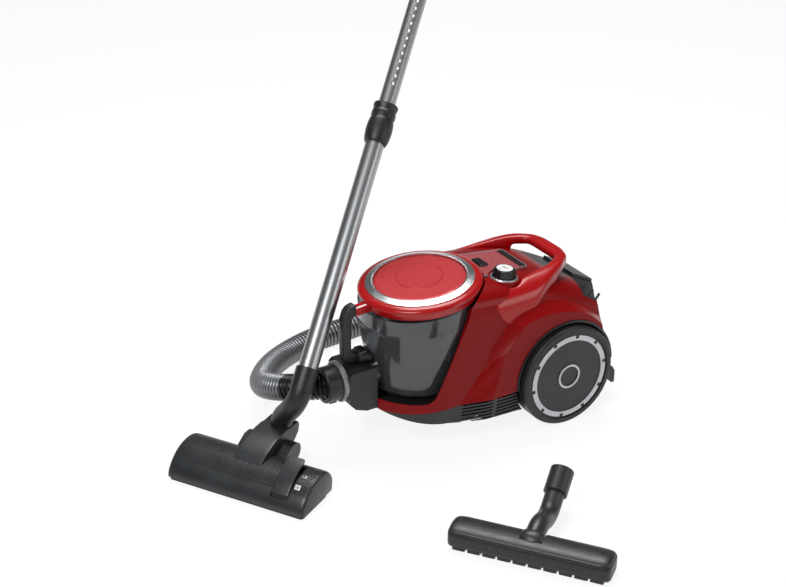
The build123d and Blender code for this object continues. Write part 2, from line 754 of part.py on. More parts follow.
save(motor_housing, "motor_housing")

with BuildPart() as fan_rotor:
    with BuildSketch(Plane.YZ.offset(MOTOR_FRONT_X + 6)):
        with Locations((0, MOTOR_Z)):
            Circle(MOTOR_R - WALL - 4)
    extrude(amount=2)
    with BuildSketch(Plane.YZ.offset(MOTOR_FRONT_X + 8)):
        with Locations((0, MOTOR_Z)):
            Circle(12)
            with PolarLocations(28, 9):
                Rectangle(34, 2)
    extrude(amount=16)
    with BuildSketch(Plane.YZ.offset(MOTOR_FRONT_X + 24)):
        with Locations((0, MOTOR_Z)):
            Circle(5)
    extrude(amount=40)
    with BuildSketch(Plane.YZ.offset(MOTOR_FRONT_X + 44)):
        with Locations((0, MOTOR_Z)):
            Circle(26)
    extrude(amount=30)
save(fan_rotor, "fan_rotor")

with BuildPart() as motor_mounts:
    for x in (MOTOR_FRONT_X + 8, MOTOR_FRONT_X + MOTOR_LENGTH - 16):
        with BuildSketch(Plane.YZ.offset(x)):
            with Locations((0, MOTOR_Z)):
                Circle(MOUNT_R)
                Circle(MOTOR_R, mode=Mode.SUBTRACT)
        extrude(amount=8)
save(motor_mounts, "motor_mounts")

with BuildPart() as motor_filter:
    with BuildSketch(Plane.YZ.offset(MOTOR_FRONT_X - 16)):
        with Locations((0, MOTOR_Z)):
            RectangleRounded(84, 84, 8)
    extrude(amount=16)
save(motor_filter, "motor_filter")

with BuildPart() as cable_reel:
    for y in (-REEL_WIDTH / 2, REEL_WIDTH / 2 - 2):
        with BuildSketch(Plane.XZ.offset(y)):
            with Locations((REEL_X, REEL_Z)):
                Circle(REEL_R)
        extrude(amount=2)
    with BuildSketch(Plane.XZ.offset(-REEL_WIDTH / 2)):
        with Locations((REEL_X, REEL_Z)):
            Circle(18)
    extrude(amount=REEL_WIDTH)
    with BuildSketch(Plane.XZ.offset(-REEL_WIDTH / 2 - 1)):
        with Locations((REEL_X, REEL_Z)):
            Circle(REEL_SHAFT_R + RUN_FIT)
    extrude(amount=REEL_WIDTH + 2, mode=Mode.SUBTRACT)
save(cable_reel, "cable_reel")

with BuildPart() as wound_cord:
    with BuildSketch(Plane.XZ.offset(2 - REEL_WIDTH / 2)):
        with Locations((REEL_X, REEL_Z)):
            Circle(REEL_R - 4)
            Circle(18, mode=Mode.SUBTRACT)
    extrude(amount=REEL_WIDTH - 4)
save(wound_cord, "wound_cord")

tray_depth = COVER_DEPTH + 20
with BuildPart() as filter_tray:
    for side in (-1, 1):
        with BuildSketch(cover_side.offset(side * (COVER_HALF_WIDTH + 2) - 1.5)):
            with Locations((2, -6)):
                Rectangle(cover_length - 16, tray_depth - 6, align=(Align.MIN, Align.MAX))
        extrude(amount=3)
        with BuildSketch(cover_side.offset(side * (COVER_HALF_WIDTH - 2) - 5.5)):
            with Locations((2, 2 - tray_depth)):
                Rectangle(cover_length - 16, 2, align=(Align.MIN, Align.MAX))
        extrude(amount=11)
    add(inner_form, mode=Mode.INTERSECT)

with BuildPart() as exhaust_filter:
    with BuildSketch(cover_side.offset(1 - COVER_HALF_WIDTH)):
        with Locations((2, 2 - tray_depth)):
            Rectangle(cover_length - 18, tray_depth - COVER_DEPTH - 4, align=(Align.MIN, Align.MIN))
    extrude(amount=2 * COVER_HALF_WIDTH - 2)
save(exhaust_filter, "exhaust_filter")

with BuildPart() as rear_panel:
    add(shell.part)
    add(rear_zone.part, mode=Mode.INTERSECT)
    add(housing_cuts.part, mode=Mode.SUBTRACT)
    add(filter_tray.part)
save(rear_panel, "rear_panel")

with BuildPart() as rear_cover:
    add(cover_form.part)
    with BuildSketch(cover_side.offset(WALL - COVER_HALF_WIDTH)):
        with Locations((WALL, -WALL)):
            Rectangle(cover_length - 2 * WALL - 12, 40, align=(Align.MIN, Align.MAX))
    extrude(amount=2 * (COVER_HALF_WIDTH - WALL), mode=Mode.SUBTRACT)
    with BuildSketch(cover_side.offset(-COVER_HALF_WIDTH)):
        with Locations((cover_length + 2, -COVER_HINGE_DROP)):
            Circle(COVER_BARREL_R)
    extrude(amount=2 * COVER_HALF_WIDTH)
save(rear_cover, "rear_cover")

PLUG_X = 83.0
PLUG_Z = 180.0
PLUG_R = 17.0
PLUG_LENGTH = 34.0
PIN_R = 2.4
PIN_LENGTH = 19.0
PIN_PITCH = 18.6
plug_plane = Plane(origin=(PLUG_X, BAY_Y, PLUG_Z), x_dir=(0, 1, 0), z_dir=(0.62, 0, 0.785))

with BuildPart() as plug_bay:
    add(bay_form.part)
    add(outer_form, mode=Mode.INTERSECT)
    with BuildSketch(Plane.XY.offset(BAY_FLOOR_Z + 2)):
        with Locations((BAY_X + 2, BAY_Y)):
            Rectangle(120, 2 * BAY_HALF_WIDTH - 4, align=(Align.MIN, Align.CENTER))
    extrude(amount=150, mode=Mode.SUBTRACT)
    with BuildSketch(plug_plane.offset(-PLUG_LENGTH / 2 - 12)):
        RectangleRounded(16, 16, 3)
    extrude(amount=12 - 0.3)
save(plug_bay, "plug_bay")

with BuildPart() as mains_plug:
    with BuildSketch(plug_plane.offset(-PLUG_LENGTH / 2)):
        Circle(PLUG_R - 4)
    with BuildSketch(plug_plane.offset(PLUG_LENGTH / 2)):
        Circle(PLUG_R)
    loft()
    with BuildSketch(plug_plane.offset(PLUG_LENGTH / 2)):
        with Locations((-PIN_PITCH / 2, 0), (PIN_PITCH / 2, 0)):
            Circle(PIN_R)
    extrude(amount=PIN_LENGTH)
save(mains_plug, "mains_plug")

# ------------------------------------------------------------------ controls
with BuildPart() as power_knob:
    with BuildSketch(knob_plane.offset(SEAM)):
        Circle(KNOB_R)
    extrude(amount=KNOB_HEIGHT - 3, taper=3)
    with BuildSketch(knob_plane.offset(-8)):
        Circle(KNOB_STEM_R)
    extrude(amount=8 + SEAM)
save(power_knob, "power_knob")

with BuildPart() as knob_cap:
    with BuildSketch(knob_plane.offset(SEAM + KNOB_HEIGHT - 3)):
        Circle(KNOB_R - 1.6)
    extrude(amount=3)
    fillet(edges().group_by(Axis.Z)[-1], 1.5)
save(knob_cap, "knob_cap")

with BuildPart() as rewind_button:
    with BuildSketch(rewind_plane.offset(-3)):
        RectangleRounded(18.4, 32.4, 3.7)
    extrude(amount=6)
    fillet(faces().sort_by(Axis.Z)[-1].edges(), 1.5)
save(rewind_button, "rewind_button")

# ------------------------------------------------------------------ rear wheels
tyre_bore = WHEEL_R - TYRE_THICKNESS
for side, side_name in ((-1, "left"), (1, "right")):
    with BuildPart() as tyre:
        with BuildSketch(wheel_plane(side, wheel_inner_y)):
            Circle(WHEEL_R)
            Circle(tyre_bore, mode=Mode.SUBTRACT)
        extrude(amount=WHEEL_WIDTH)
        outer = edges().filter_by(GeomType.CIRCLE).filter_by(lambda e: e.radius > WHEEL_R - 1)
        fillet(outer, 5)
    save(tyre, f"{side_name}_tyre")
    with BuildPart() as wheel_disc:
        with BuildSketch(wheel_plane(side, WHEEL_FACE_Y - 8)):
            Circle(tyre_bore)
        extrude(amount=6)
        with BuildSketch(wheel_plane(side, wheel_inner_y + 2)):
            Circle(tyre_bore)
            Circle(tyre_bore - 4, mode=Mode.SUBTRACT)
        extrude(amount=WHEEL_WIDTH - 10)
        with BuildSketch(wheel_plane(side, wheel_inner_y)):
            Circle(AXLE_R + 8)
            with PolarLocations(45, 6):
                Rectangle(72, 3)
        extrude(amount=WHEEL_WIDTH - 8)
        with BuildSketch(wheel_plane(side, wheel_inner_y - 1)):
            Circle(AXLE_R + RUN_FIT)
        extrude(amount=WHEEL_FACE_Y - 12 - wheel_inner_y + 1.5, mode=Mode.SUBTRACT)
    save(wheel_disc, f"{side_name}_wheel_disc")
    with BuildPart() as wheel_trims:
        with BuildSketch(wheel_plane(side, WHEEL_FACE_Y - 2)):
            Circle(TRIM_R)
            Circle(TRIM_BORE_R, mode=Mode.SUBTRACT)
            with PolarLocations(78, NOTCH_COUNT, start_angle=8):
                Rectangle(8, 7, mode=Mode.SUBTRACT)
        extrude(amount=1.6)
        with BuildSketch(wheel_plane(side, WHEEL_FACE_Y - 2)):
            Circle(HUB_TRIM_R)
            Circle(HUB_TRIM_R - 3.8, mode=Mode.SUBTRACT)
        extrude(amount=2.2)
    save(wheel_trims, f"{side_name}_wheel_trims")

# ------------------------------------------------------------------ front caster
with BuildPart() as caster_fork:
    with BuildSketch(Plane.XY.offset(CASTER_R * 2 + 3)):
        with Locations((CASTER_X, 0)):
            Circle(24)
    extrude(amount=CASTER_TOP - 1 - CASTER_R * 2 - 3)
    with BuildSketch(Plane.XY.offset(CASTER_TOP - 2)):
        with Locations((CASTER_X, 0)):
            Circle(CASTER_STEM_R)
    extrude(amount=9)
    for side in (-1, 1):
        with BuildSketch(Plane.XZ.offset(side * (CASTER_WIDTH / 2 + 2.5) - 2)):
            with BuildLine():
                Polyline(
                    (CASTER_X - 8, 40), (CASTER_X + 14, 40), (CASTER_X + CASTER_TRAIL + 7, 14),
                    (CASTER_X + CASTER_TRAIL, 9), (CASTER_X + CASTER_TRAIL - 7, 14), close=True,
                )
            make_face()
        extrude(amount=4)
    with BuildSketch(Plane.XZ.offset(-CASTER_WIDTH / 2 - 4)):
        with Locations((CASTER_X + CASTER_TRAIL, CASTER_R)):
            Circle(CASTER_AXLE_R)
    extrude(amount=CASTER_WIDTH + 8)
save(caster_fork, "caster_fork")

with BuildPart() as caster_wheel:
    with BuildSketch(Plane.XZ.offset(-CASTER_WIDTH / 2)):
        with Locations((CASTER_X + CASTER_TRAIL, CASTER_R)):
            Circle(CASTER_R)
            Circle(CASTER_AXLE_R + RUN_FIT, mode=Mode.SUBTRACT)
    extrude(amount=CASTER_WIDTH)
    rims = edges().filter_by(GeomType.CIRCLE).filter_by(lambda e: e.radius > CASTER_R - 1)
    fillet(rims, 3)
save(caster_wheel, "caster_wheel")

# ------------------------------------------------------------------ dust bin and lid
bin_top = lid_plane.offset(-LID_DEPTH - 3)


def bin_profile(inset, foot):
    """Half outline of the bin about its axis."""
    Polyline(
        (BIN_X, foot), (BIN_X + BIN_FOOT_R - inset, foot), (BIN_X + BIN_R - inset, 225),
        (BIN_X + BIN_R - inset, 330), (BIN_X, 330), close=True,
    )


with BuildPart() as bin_outside:
    with BuildSketch(Plane.XZ):
        with BuildLine():
            bin_profile(0, BIN_FLOOR_Z)
        make_face()
    revolve(axis=bin_axis)
    split(bisect_by=bin_top, keep=Keep.BOTTOM)

PORT_R = 26.0
with BuildPart() as dust_bin:
    add(bin_outside.part)
    fillet(edges().group_by(Axis.Z)[0], 8)
    with BuildSketch(Plane.YZ.offset(BIN_X - bin_cavity_r + 2)):
        with Locations((0, INLET_Z)):
            Circle(PORT_R)
    extrude(amount=30)
    with BuildSketch(Plane.XZ):
        with BuildLine():
            bin_profile(BIN_WALL, BIN_FLOOR_Z + BIN_WALL)
        make_face()
    revolve(axis=bin_axis, mode=Mode.SUBTRACT)
    with BuildSketch(Plane.YZ.offset(BIN_X - bin_cavity_r - 5)):
        with Locations((0, INLET_Z)):
            Circle(PORT_R - BIN_WALL)
    extrude(amount=40, mode=Mode.SUBTRACT)
save(dust_bin, "dust_bin")

SHROUD_R = 58.0
shroud_foot = BIN_FLOOR_Z + BIN_WALL
with BuildPart() as cyclone_shroud:
    with BuildSketch(Plane.XZ):
        with BuildLine():
            Line((BIN_X, shroud_foot), (BIN_X + SHROUD_R, shroud_foot))
            Line((BIN_X + SHROUD_R, shroud_foot), (BIN_X + SHROUD_R, 205))
            Spline((BIN_X + SHROUD_R, 205), (BIN_X + 70, 232), (BIN_X + 92, 250), tangents=((0, 1), (1, 0.2)))
            Polyline((BIN_X + 92, 250), (BIN_X, 250), (BIN_X, shroud_foot))
        make_face()
    revolve(axis=bin_axis)
    with BuildSketch(Plane.XZ):
        with BuildLine():
            Polyline(
                (BIN_X, 112), (BIN_X + SHROUD_R - 2, 112), (BIN_X + SHROUD_R - 2, 260), (BIN_X, 260),
                close=True,
            )
        make_face()
    revolve(axis=bin_axis, mode=Mode.SUBTRACT)
    split(bisect_by=lid_plane.offset(-LID_DEPTH - 8), keep=Keep.BOTTOM)
save(cyclone_shroud, "cyclone_shroud")

GRIP_X = -383.0             # outer face of the bin's grip
GRIP_TOP = 281.0
SADDLE_Z = 162.0
with BuildPart() as bin_handle:
    with BuildSketch(Plane.XZ.offset(-9)):
        with BuildLine():
            Polyline(
                (GRIP_X, SADDLE_Z), (GRIP_X, GRIP_TOP), (LID_X - LID_R - 25, GRIP_TOP),
                (LID_X - LID_R - 25, GRIP_TOP - 20), (GRIP_X + 14, GRIP_TOP - 24),
                (GRIP_X + 14, SADDLE_Z + 17),
                (-310, SADDLE_Z + 17), (-310, SADDLE_Z), close=True,
            )
        make_face()
        fillet(vertices().sort_by_distance((GRIP_X, GRIP_TOP, 0))[0:1], 18)
        fillet(vertices().sort_by_distance((GRIP_X, SADDLE_Z, 0))[0:1], 6)
        fillet(vertices().sort_by_distance((GRIP_X + 14, GRIP_TOP - 24, 0))[0:1], 5)
    extrude(amount=18)
    with BuildSketch(Plane.XY.offset(SADDLE_Z)):
        with Locations((-334, 0)):
            RectangleRounded(44, 34, 5)
    extrude(amount=17)
    with BuildSketch(Plane.XY.offset(SADDLE_Z + 7)):
        with Locations((-347, 0)):
            RectangleRounded(17, 25, 3)
    extrude(amount=30, mode=Mode.SUBTRACT)
    add(bin_outside.part, mode=Mode.SUBTRACT)
save(bin_handle, "bin_handle")

with BuildPart() as bin_release_button:
    with BuildSketch(Plane.XY.offset(SADDLE_Z + 12)):
        with Locations((-347, 0)):
            RectangleRounded(16.2, 24.2, 2.6)
    extrude(amount=9)
    fillet(faces().sort_by(Axis.Z)[-1].edges(), 2)
save(bin_release_button, "bin_release_button")

with BuildPart() as bin_lid:
    with BuildSketch(lid_profile):
        with BuildLine():
            Polyline((0, -14), (97, -14), (97, -LID_DEPTH), (105.5, -LID_DEPTH), (106.5, -19))
            Spline((106.5, -19), (LID_R, -8.5), (97.5, -0.6), tangents=((0.35, 1), (-1, 0.12)))
            Polyline(
                (97.5, -0.6), (RING_R, -0.8), (RING_R, -3.2), (RING_BORE_R, -3.2), (RING_BORE_R, -11),
                (0, -11), (0, -14),
            )
        make_face()
    revolve(axis=lid_axis)
    with BuildSketch(lid_plane.offset(-22)):
        with Locations((-(LID_R + 8), 0)):
            Rectangle(33, 19)
    extrude(amount=12)
    with BuildSketch(lid_plane.offset(-24)):
        Circle(97)
    extrude(amount=10, mode=Mode.SUBTRACT)
save(bin_lid, "bin_lid")

with BuildPart() as lid_trim_ring:
    with BuildSketch(lid_profile):
        with BuildLine():
            Polyline(
                (RING_BORE_R + 0.2, -3.2), (RING_R - 0.2, -3.2), (RING_R - 0.2, 0), (RING_BORE_R + 3, 3.7),
                (RING_BORE_R + 0.2, 3.2), close=True,
            )
        make_face()
    revolve(axis=lid_axis)
save(lid_trim_ring, "lid_trim_ring")

with BuildPart() as lid_disc:
    with BuildSketch(lid_profile):
        with BuildLine():
            Polyline(
                (0, -1.5), (0, 2.6), (38.5, 2.6), (40, 1.2), (41.5, 1.2), (43, 2.4), (76, 1.6),
                (RING_BORE_R - 1.5, 0.2), (RING_BORE_R - 0.3, -1.0), (RING_BORE_R - 0.3, -11),
                (RING_BORE_R - 3, -11), (RING_BORE_R - 3, -1.5), close=True,
            )
        make_face()
    revolve(axis=lid_axis)
save(lid_disc, "lid_disc")

with BuildPart() as bin_gasket:
    with BuildSketch(lid_plane.offset(-LID_DEPTH - 3 + 0.3)):
        Circle(104)
        Circle(97.5, mode=Mode.SUBTRACT)
    extrude(amount=2.7)
save(bin_gasket, "bin_gasket")

with BuildPart() as filter_cartridge:
    with BuildSketch(lid_plane.offset(-14)):
        Circle(46)
    extrude(amount=-5)
    with BuildSketch(lid_plane.offset(-19)):
        Circle(35)
        with PolarLocations(36, 32):
            Rectangle(5, 3)
        Circle(24, mode=Mode.SUBTRACT)
    extrude(amount=-72)
save(filter_cartridge, "filter_cartridge")

# ------------------------------------------------------------------ hose
hose_start_x = INLET_FACE_X - 8 - CUFF_LENGTH
HOSE_ROUTE = (
    (-407, -9, 132), (-446, 16, 127.5), (-465, 52, 114), (-472, 98, 95), (-464, 150, 72), (-438, 204, 51),
    (-392, 262, 36),
    (-335, 305, 26), (-270, 328, 25), (-205, 333, 25), (-140, 342, 25), (-60, 386, 25), (50, 440, 25),
    (150, 440, 25), (235, 370, 25), (250, 275, 25), (190, 205, 25), (110, 190, 27), (60, 190, 27),
)
GRIP_ROUTE = (HOSE_ROUTE[-1], (-40, 190, 27), (-105, 185, 25), (-165, 168, 22))


def bend_radii(route):
    """Bend radius at every inner corner of a route, as wide as its shorter run lets it be."""
    corners = [Vector(*point) for point in route]
    radii = []
    for before, corner, after in zip(corners, corners[1:], corners[2:]):
        turn = math.radians((corner - before).get_angle(after - corner))
        shorter = min((corner - before).length, (after - corner).length)
        radii.append(round(0.45 * shorter / math.tan(turn / 2), 1))
    return radii


def tube_along(route, outer, inner):
    """Tube along straight runs joined by tangent arcs, solid where inner is 0."""
    with BuildPart() as tube:
        with BuildLine() as path:
            FilletPolyline(*route, radius=bend_radii(route))
        track = path.wire()
        with BuildSketch(Plane(origin=track @ 0, z_dir=track % 0)):
            Circle(outer)
            if inner > 0:
                Circle(inner, mode=Mode.SUBTRACT)
        sweep(path=track)
    return tube.part


print("hose bend radii", bend_radii(HOSE_ROUTE))
print("grip bend radii", bend_radii(GRIP_ROUTE))
with BuildPart() as hose:
    add(tube_along(HOSE_ROUTE, HOSE_R, HOSE_BORE_R))
save(hose, "hose")

with BuildPart() as hose_cuff:
    with BuildSketch(Plane.YZ.offset(hose_start_x)):
        with Locations((0, INLET_Z)):
            Circle(CUFF_R)
    extrude(amount=CUFF_LENGTH + 8)
    fillet(edges().filter_by(GeomType.CIRCLE).group_by(Axis.X)[0], 3)
    with BuildSketch(Plane.YZ.offset(INLET_FACE_X)):
        with Locations((0, INLET_Z)):
            Circle(CUFF_R - 4 - RUN_FIT)
    extrude(amount=18)
    with BuildSketch(Plane.YZ.offset(hose_start_x - 1)):
        with Locations((0, INLET_Z)):
            Circle(HOSE_BORE_R)
    extrude(amount=90, mode=Mode.SUBTRACT)
    with BuildSketch(Plane.XZ.offset(-8)):
        with BuildLine():
            Polyline(
                (hose_start_x + 6, 104), (hose_start_x + 26, 104), (hose_start_x + 26, 95),
                (hose_start_x + 12, 95), close=True,
            )
        make_face()
    extrude(amount=16)
    with BuildSketch(Plane.YZ.offset(hose_start_x - 1)):
        with Locations((0, INLET_Z)):
            Circle(HOSE_BORE_R)
    extrude(amount=90, mode=Mode.SUBTRACT)
    add(tube_along(HOSE_ROUTE[:4], HOSE_R + 0.3, 0), mode=Mode.SUBTRACT)
save(hose_cuff, "hose_cuff")

GRIP_R = 19.0
GRIP_WALL = 3.0
with BuildPart() as grip_handle:
    add(tube_along(GRIP_ROUTE, GRIP_R, GRIP_R - GRIP_WALL))
    with BuildSketch(Plane(origin=HOSE_ROUTE[-1], z_dir=(-1, 0, 0))):
        Circle(HOSE_R + 3)
        Circle(GRIP_R - GRIP_WALL, mode=Mode.SUBTRACT)
    extrude(amount=40)
save(grip_handle, "grip_handle")

with BuildPart() as air_slider:
    with BuildSketch(Plane(origin=(17, 190, 27), z_dir=(-1, 0, 0))):
        Circle(GRIP_R + 2.5)
        Circle(GRIP_R + RUN_FIT, mode=Mode.SUBTRACT)
    extrude(amount=12)
save(air_slider, "air_slider")

# ------------------------------------------------------------------ floor nozzle
NOZZLE = ((NOZZLE_X, NOZZLE_Y), NOZZLE_TURN)
YOKE_HALF = 27.0
TILT_BACK = 124.0           # tilt axis behind the front edge
TILT_Z = 40.0
ROLLER_BACK = 118.0
ROLLER_R = 14.0
ROLLER_PIN_R = 2.5
TILT_PIN_R = 4.0
PEDAL_PIN_R = 3.0
PEDAL_LATERAL = 84.0
PEDAL_WIDTH = 32.0
PEDAL_PIVOT = (45.0, 41.0)
BRUSH_BACK = 13.5
BRUSH_TRAVEL = 4.0
NOZZLE_END = 30.0            # solid end of the floor nozzle beyond its hollow
ELBOW_BACK = 146.0
ELBOW_LATERAL = 7.0
ELBOW_R = 19.0
ELBOW_WALL = 4.0
half_nozzle = NOZZLE_WIDTH / 2


def nozzle_profile(inset, foot):
    """Side outline of the floor nozzle, drawn in by this much."""
    Polyline(
        (inset, foot), (inset, 10), (14 + inset * 0.6, 29.5 - inset * 0.8), (29.5 + inset * 0.4, 42 - inset)
    )
    Spline(
        (29.5 + inset * 0.4, 42 - inset), (52, NOZZLE_HEIGHT - 1 - inset), (74, NOZZLE_HEIGHT - inset),
        (91 - inset * 0.7, 42 - inset * 0.7), (NOZZLE_BACK - inset, 26), (98 - inset, foot),
    )
    Line((98 - inset, foot), (inset, foot))


def nozzle_box(back, lateral, heights):
    """Block in the nozzle's own frame from its limits backwards, sideways and up."""
    with BuildPart() as block:
        with BuildSketch(floor_plane(*NOZZLE, heights[0])):
            with Locations(((back[0] + back[1]) / 2, -(lateral[0] + lateral[1]) / 2)):
                Rectangle(back[1] - back[0], lateral[1] - lateral[0])
        extrude(amount=heights[1] - heights[0])
    return block.part


nozzle_front = Plane(
    origin=local_point(*NOZZLE, -5, 0, 0),
    x_dir=heading(NOZZLE_TURN - 90),
    z_dir=heading(NOZZLE_TURN + 180),
)
with BuildPart() as nozzle_body:
    with BuildSketch(side_plane(*NOZZLE, -half_nozzle)):
        with BuildLine():
            nozzle_profile(0, 6)
        make_face()
    extrude(amount=NOZZLE_WIDTH)
    with BuildSketch(floor_plane(*NOZZLE, 0)):
        with Locations((NOZZLE_BACK / 2, 0)):
            Rectangle(NOZZLE_BACK + 1, NOZZLE_WIDTH)
        fillet(vertices().group_by(Axis.X)[0], 7)
        fillet(vertices().group_by(Axis.X)[-1], 24)
    extrude(amount=80, mode=Mode.INTERSECT)
    with BuildSketch(nozzle_front):
        with BuildLine():
            rim = half_nozzle + 1
            Polyline(
                (-rim, 0), (rim, 0), (rim, 16), (rim - 3, 28), (rim - 9, 38), (rim - 20, 45), (rim - 42, 52),
                (42 - rim, 52), (20 - rim, 45), (9 - rim, 38), (3 - rim, 28), (-rim, 16), close=True,
            )
        make_face()
    extrude(amount=-NOZZLE_BACK - 20, mode=Mode.INTERSECT)
    for low in (NOZZLE_END - half_nozzle, YOKE_HALF + 4):
        with BuildSketch(side_plane(*NOZZLE, low)):
            with BuildLine():
                nozzle_profile(WALL, 5)
            make_face()
        extrude(amount=half_nozzle - YOKE_HALF - 4 - NOZZLE_END, mode=Mode.SUBTRACT)
    for side in (-1, 1):
        low = PEDAL_LATERAL + side * (PEDAL_WIDTH / 2 + 3.5) - 2.5
        with BuildSketch(side_plane(*NOZZLE, low)):
            with BuildLine():
                Polyline((14, 20), (14, 28), (30, 40), (52, 47), (76, 47), (76, 20), close=True)
            make_face()
        extrude(amount=5)
    pedal_low = PEDAL_LATERAL - PEDAL_WIDTH / 2 - 1
    pedal_high = PEDAL_LATERAL + PEDAL_WIDTH / 2 + 1
    add(nozzle_box((10, 75), (pedal_low, pedal_high), (32, 80)), mode=Mode.SUBTRACT)
    with BuildSketch(side_plane(*NOZZLE, pedal_low - 3)):
        with Locations(PEDAL_PIVOT):
            Circle(PEDAL_PIN_R)
    extrude(amount=PEDAL_WIDTH + 8)
    add(nozzle_box((48, 120), (-YOKE_HALF - 0.6, YOKE_HALF + 0.6), (9, 90)), mode=Mode.SUBTRACT)
    add(nozzle_box((20, 34), (-115, 115), (0, 26)), mode=Mode.SUBTRACT)
    add(nozzle_box((BRUSH_BACK - 3.3, BRUSH_BACK + 3.3), (-110.6, 110.6), (0, 22)), mode=Mode.SUBTRACT)
    for side in (-1, 1):
        inner = side * 29.2 - 1.6
        with BuildSketch(side_plane(*NOZZLE, side * 37.8 - 10.2)):
            with BuildLine():
                Polyline((88, 32), (88, 44), (112, 56), (124, 56), (124, 32), close=True)
            make_face()
            with Locations((TILT_BACK, TILT_Z)):
                Circle(16)
            with Locations((ROLLER_BACK, ROLLER_R)):
                Circle(ROLLER_R + 1.5, mode=Mode.SUBTRACT)
        extrude(amount=20.4)
        with BuildSketch(side_plane(*NOZZLE, inner)):
            with BuildLine():
                Polyline((94, 8), (94, 44), (134, 44), (134, 30), (124, 8), close=True)
            make_face()
        extrude(amount=3.2)
        with BuildSketch(side_plane(*NOZZLE, min(side * 30, side * 47.6))):
            with Locations((ROLLER_BACK, ROLLER_R)):
                Circle(ROLLER_PIN_R)
        extrude(amount=17.6)
        with BuildSketch(side_plane(*NOZZLE, min(side * 22, side * 30))):
            with Locations((TILT_BACK, TILT_Z)):
                Circle(TILT_PIN_R)
        extrude(amount=8)
save(nozzle_body, "nozzle_body")

with BuildPart() as nozzle_sole_plate:
    with BuildSketch(floor_plane(*NOZZLE, 0.5)):
        with Locations((49.5, 0)):
            Rectangle(95, NOZZLE_WIDTH - 4)
        fillet(vertices().group_by(Axis.X)[0], 6)
        fillet(vertices().group_by(Axis.X)[-1], 22)
        with Locations((27, 0)):
            Rectangle(14, 230, mode=Mode.SUBTRACT)
        with Locations((BRUSH_BACK, 0)):
            Rectangle(6.6, 221.2, mode=Mode.SUBTRACT)
    extrude(amount=5.3)
save(nozzle_sole_plate, "nozzle_sole_plate")

with BuildPart() as brush_strip:
    add(nozzle_box((BRUSH_BACK - 3, BRUSH_BACK + 3), (-110, 110), (10, 16)))
    add(nozzle_box((BRUSH_BACK - 2, BRUSH_BACK + 2), (-109, 109), (BRUSH_TRAVEL + 0.3, 11)))
save(brush_strip, "brush_strip")

with BuildPart() as nozzle_pedal:
    with BuildSketch(side_plane(*NOZZLE, PEDAL_LATERAL - PEDAL_WIDTH / 2)):
        with BuildLine():
            Polyline(
                (12, 29), (12, 34), (40, 57), (62, 69), (70, 70), (70, 66), (62, 62), (52, 54), (52, 37),
                (38, 37), (38, 48), close=True,
            )
        make_face()
    extrude(amount=PEDAL_WIDTH)
    with BuildSketch(side_plane(*NOZZLE, PEDAL_LATERAL - PEDAL_WIDTH / 2 - 1)):
        with Locations(PEDAL_PIVOT):
            Circle(PEDAL_PIN_R + RUN_FIT)
    extrude(amount=PEDAL_WIDTH + 2, mode=Mode.SUBTRACT)
save(nozzle_pedal, "nozzle_pedal")

with BuildPart() as nozzle_rollers:
    for side in (-1, 1):
        with BuildSketch(side_plane(*NOZZLE, min(side * 31.6, side * 46.6))):
            with Locations((ROLLER_BACK, ROLLER_R)):
                Circle(ROLLER_R)
                Circle(ROLLER_PIN_R + RUN_FIT, mode=Mode.SUBTRACT)
        extrude(amount=15)
    rims = edges().filter_by(GeomType.CIRCLE).filter_by(lambda e: e.radius > ROLLER_R - 1)
    fillet(rims, 2)
save(nozzle_rollers, "nozzle_rollers")

elbow_foot = local_point(*NOZZLE, ELBOW_BACK, ELBOW_LATERAL, 54)
with BuildPart() as nozzle_yoke:
    with BuildSketch(side_plane(*NOZZLE, -YOKE_HALF)):
        with BuildLine():
            Spline((50, 51), (74, 63), (94, 69), (114, 71))
            Polyline(
                (114, 71), (168, 71), (171, 64), (168, 52), (140, 30), (112, 24), (106, 28), (103, 62),
            )
            Spline((103, 62), (90, 63), (72, 57.5), (50, 48))
            Line((50, 48), (50, 51))
        make_face()
    extrude(amount=2 * YOKE_HALF)
    with BuildSketch(side_plane(*NOZZLE, -YOKE_HALF - 1)):
        with Locations((TILT_BACK, TILT_Z)):
            Circle(TILT_PIN_R + RUN_FIT)
    extrude(amount=2 * YOKE_HALF + 2, mode=Mode.SUBTRACT)
    with BuildSketch(Plane(origin=elbow_foot, z_dir=(0, 0, 1))):
        Circle(ELBOW_R + RUN_FIT)
    extrude(amount=40, mode=Mode.SUBTRACT)
save(nozzle_yoke, "nozzle_yoke")

# ------------------------------------------------------------------ wand
wand_axis = Vector(
    math.cos(math.radians(WAND_RISE)) * math.cos(math.radians(WAND_HEADING)),
    math.cos(math.radians(WAND_RISE)) * math.sin(math.radians(WAND_HEADING)),
    math.sin(math.radians(WAND_RISE)),
)
ELBOW_TURN = (131.0, 50.0, 134.0)
SOCKET_LENGTH = 60.0
SOCKET_BORE = 44.0
COLLAR_START = 480.0
COLLAR_END = 555.0
NOTCH_PITCH = 15.0
NOTCH_TURN = 25.0           # how far the row of notches is turned from the top of the tube
wand_foot = local_point(*NOZZLE, *ELBOW_TURN)
wand_side = wand_axis.cross(Vector(0, 0, 1)).normalized()
wand_face = wand_side.cross(wand_axis).normalized()


def wand_plane(distance):
    """Plane across the wand at this distance from its foot."""
    return Plane(origin=wand_foot + wand_axis * distance, x_dir=wand_side, z_dir=wand_axis)


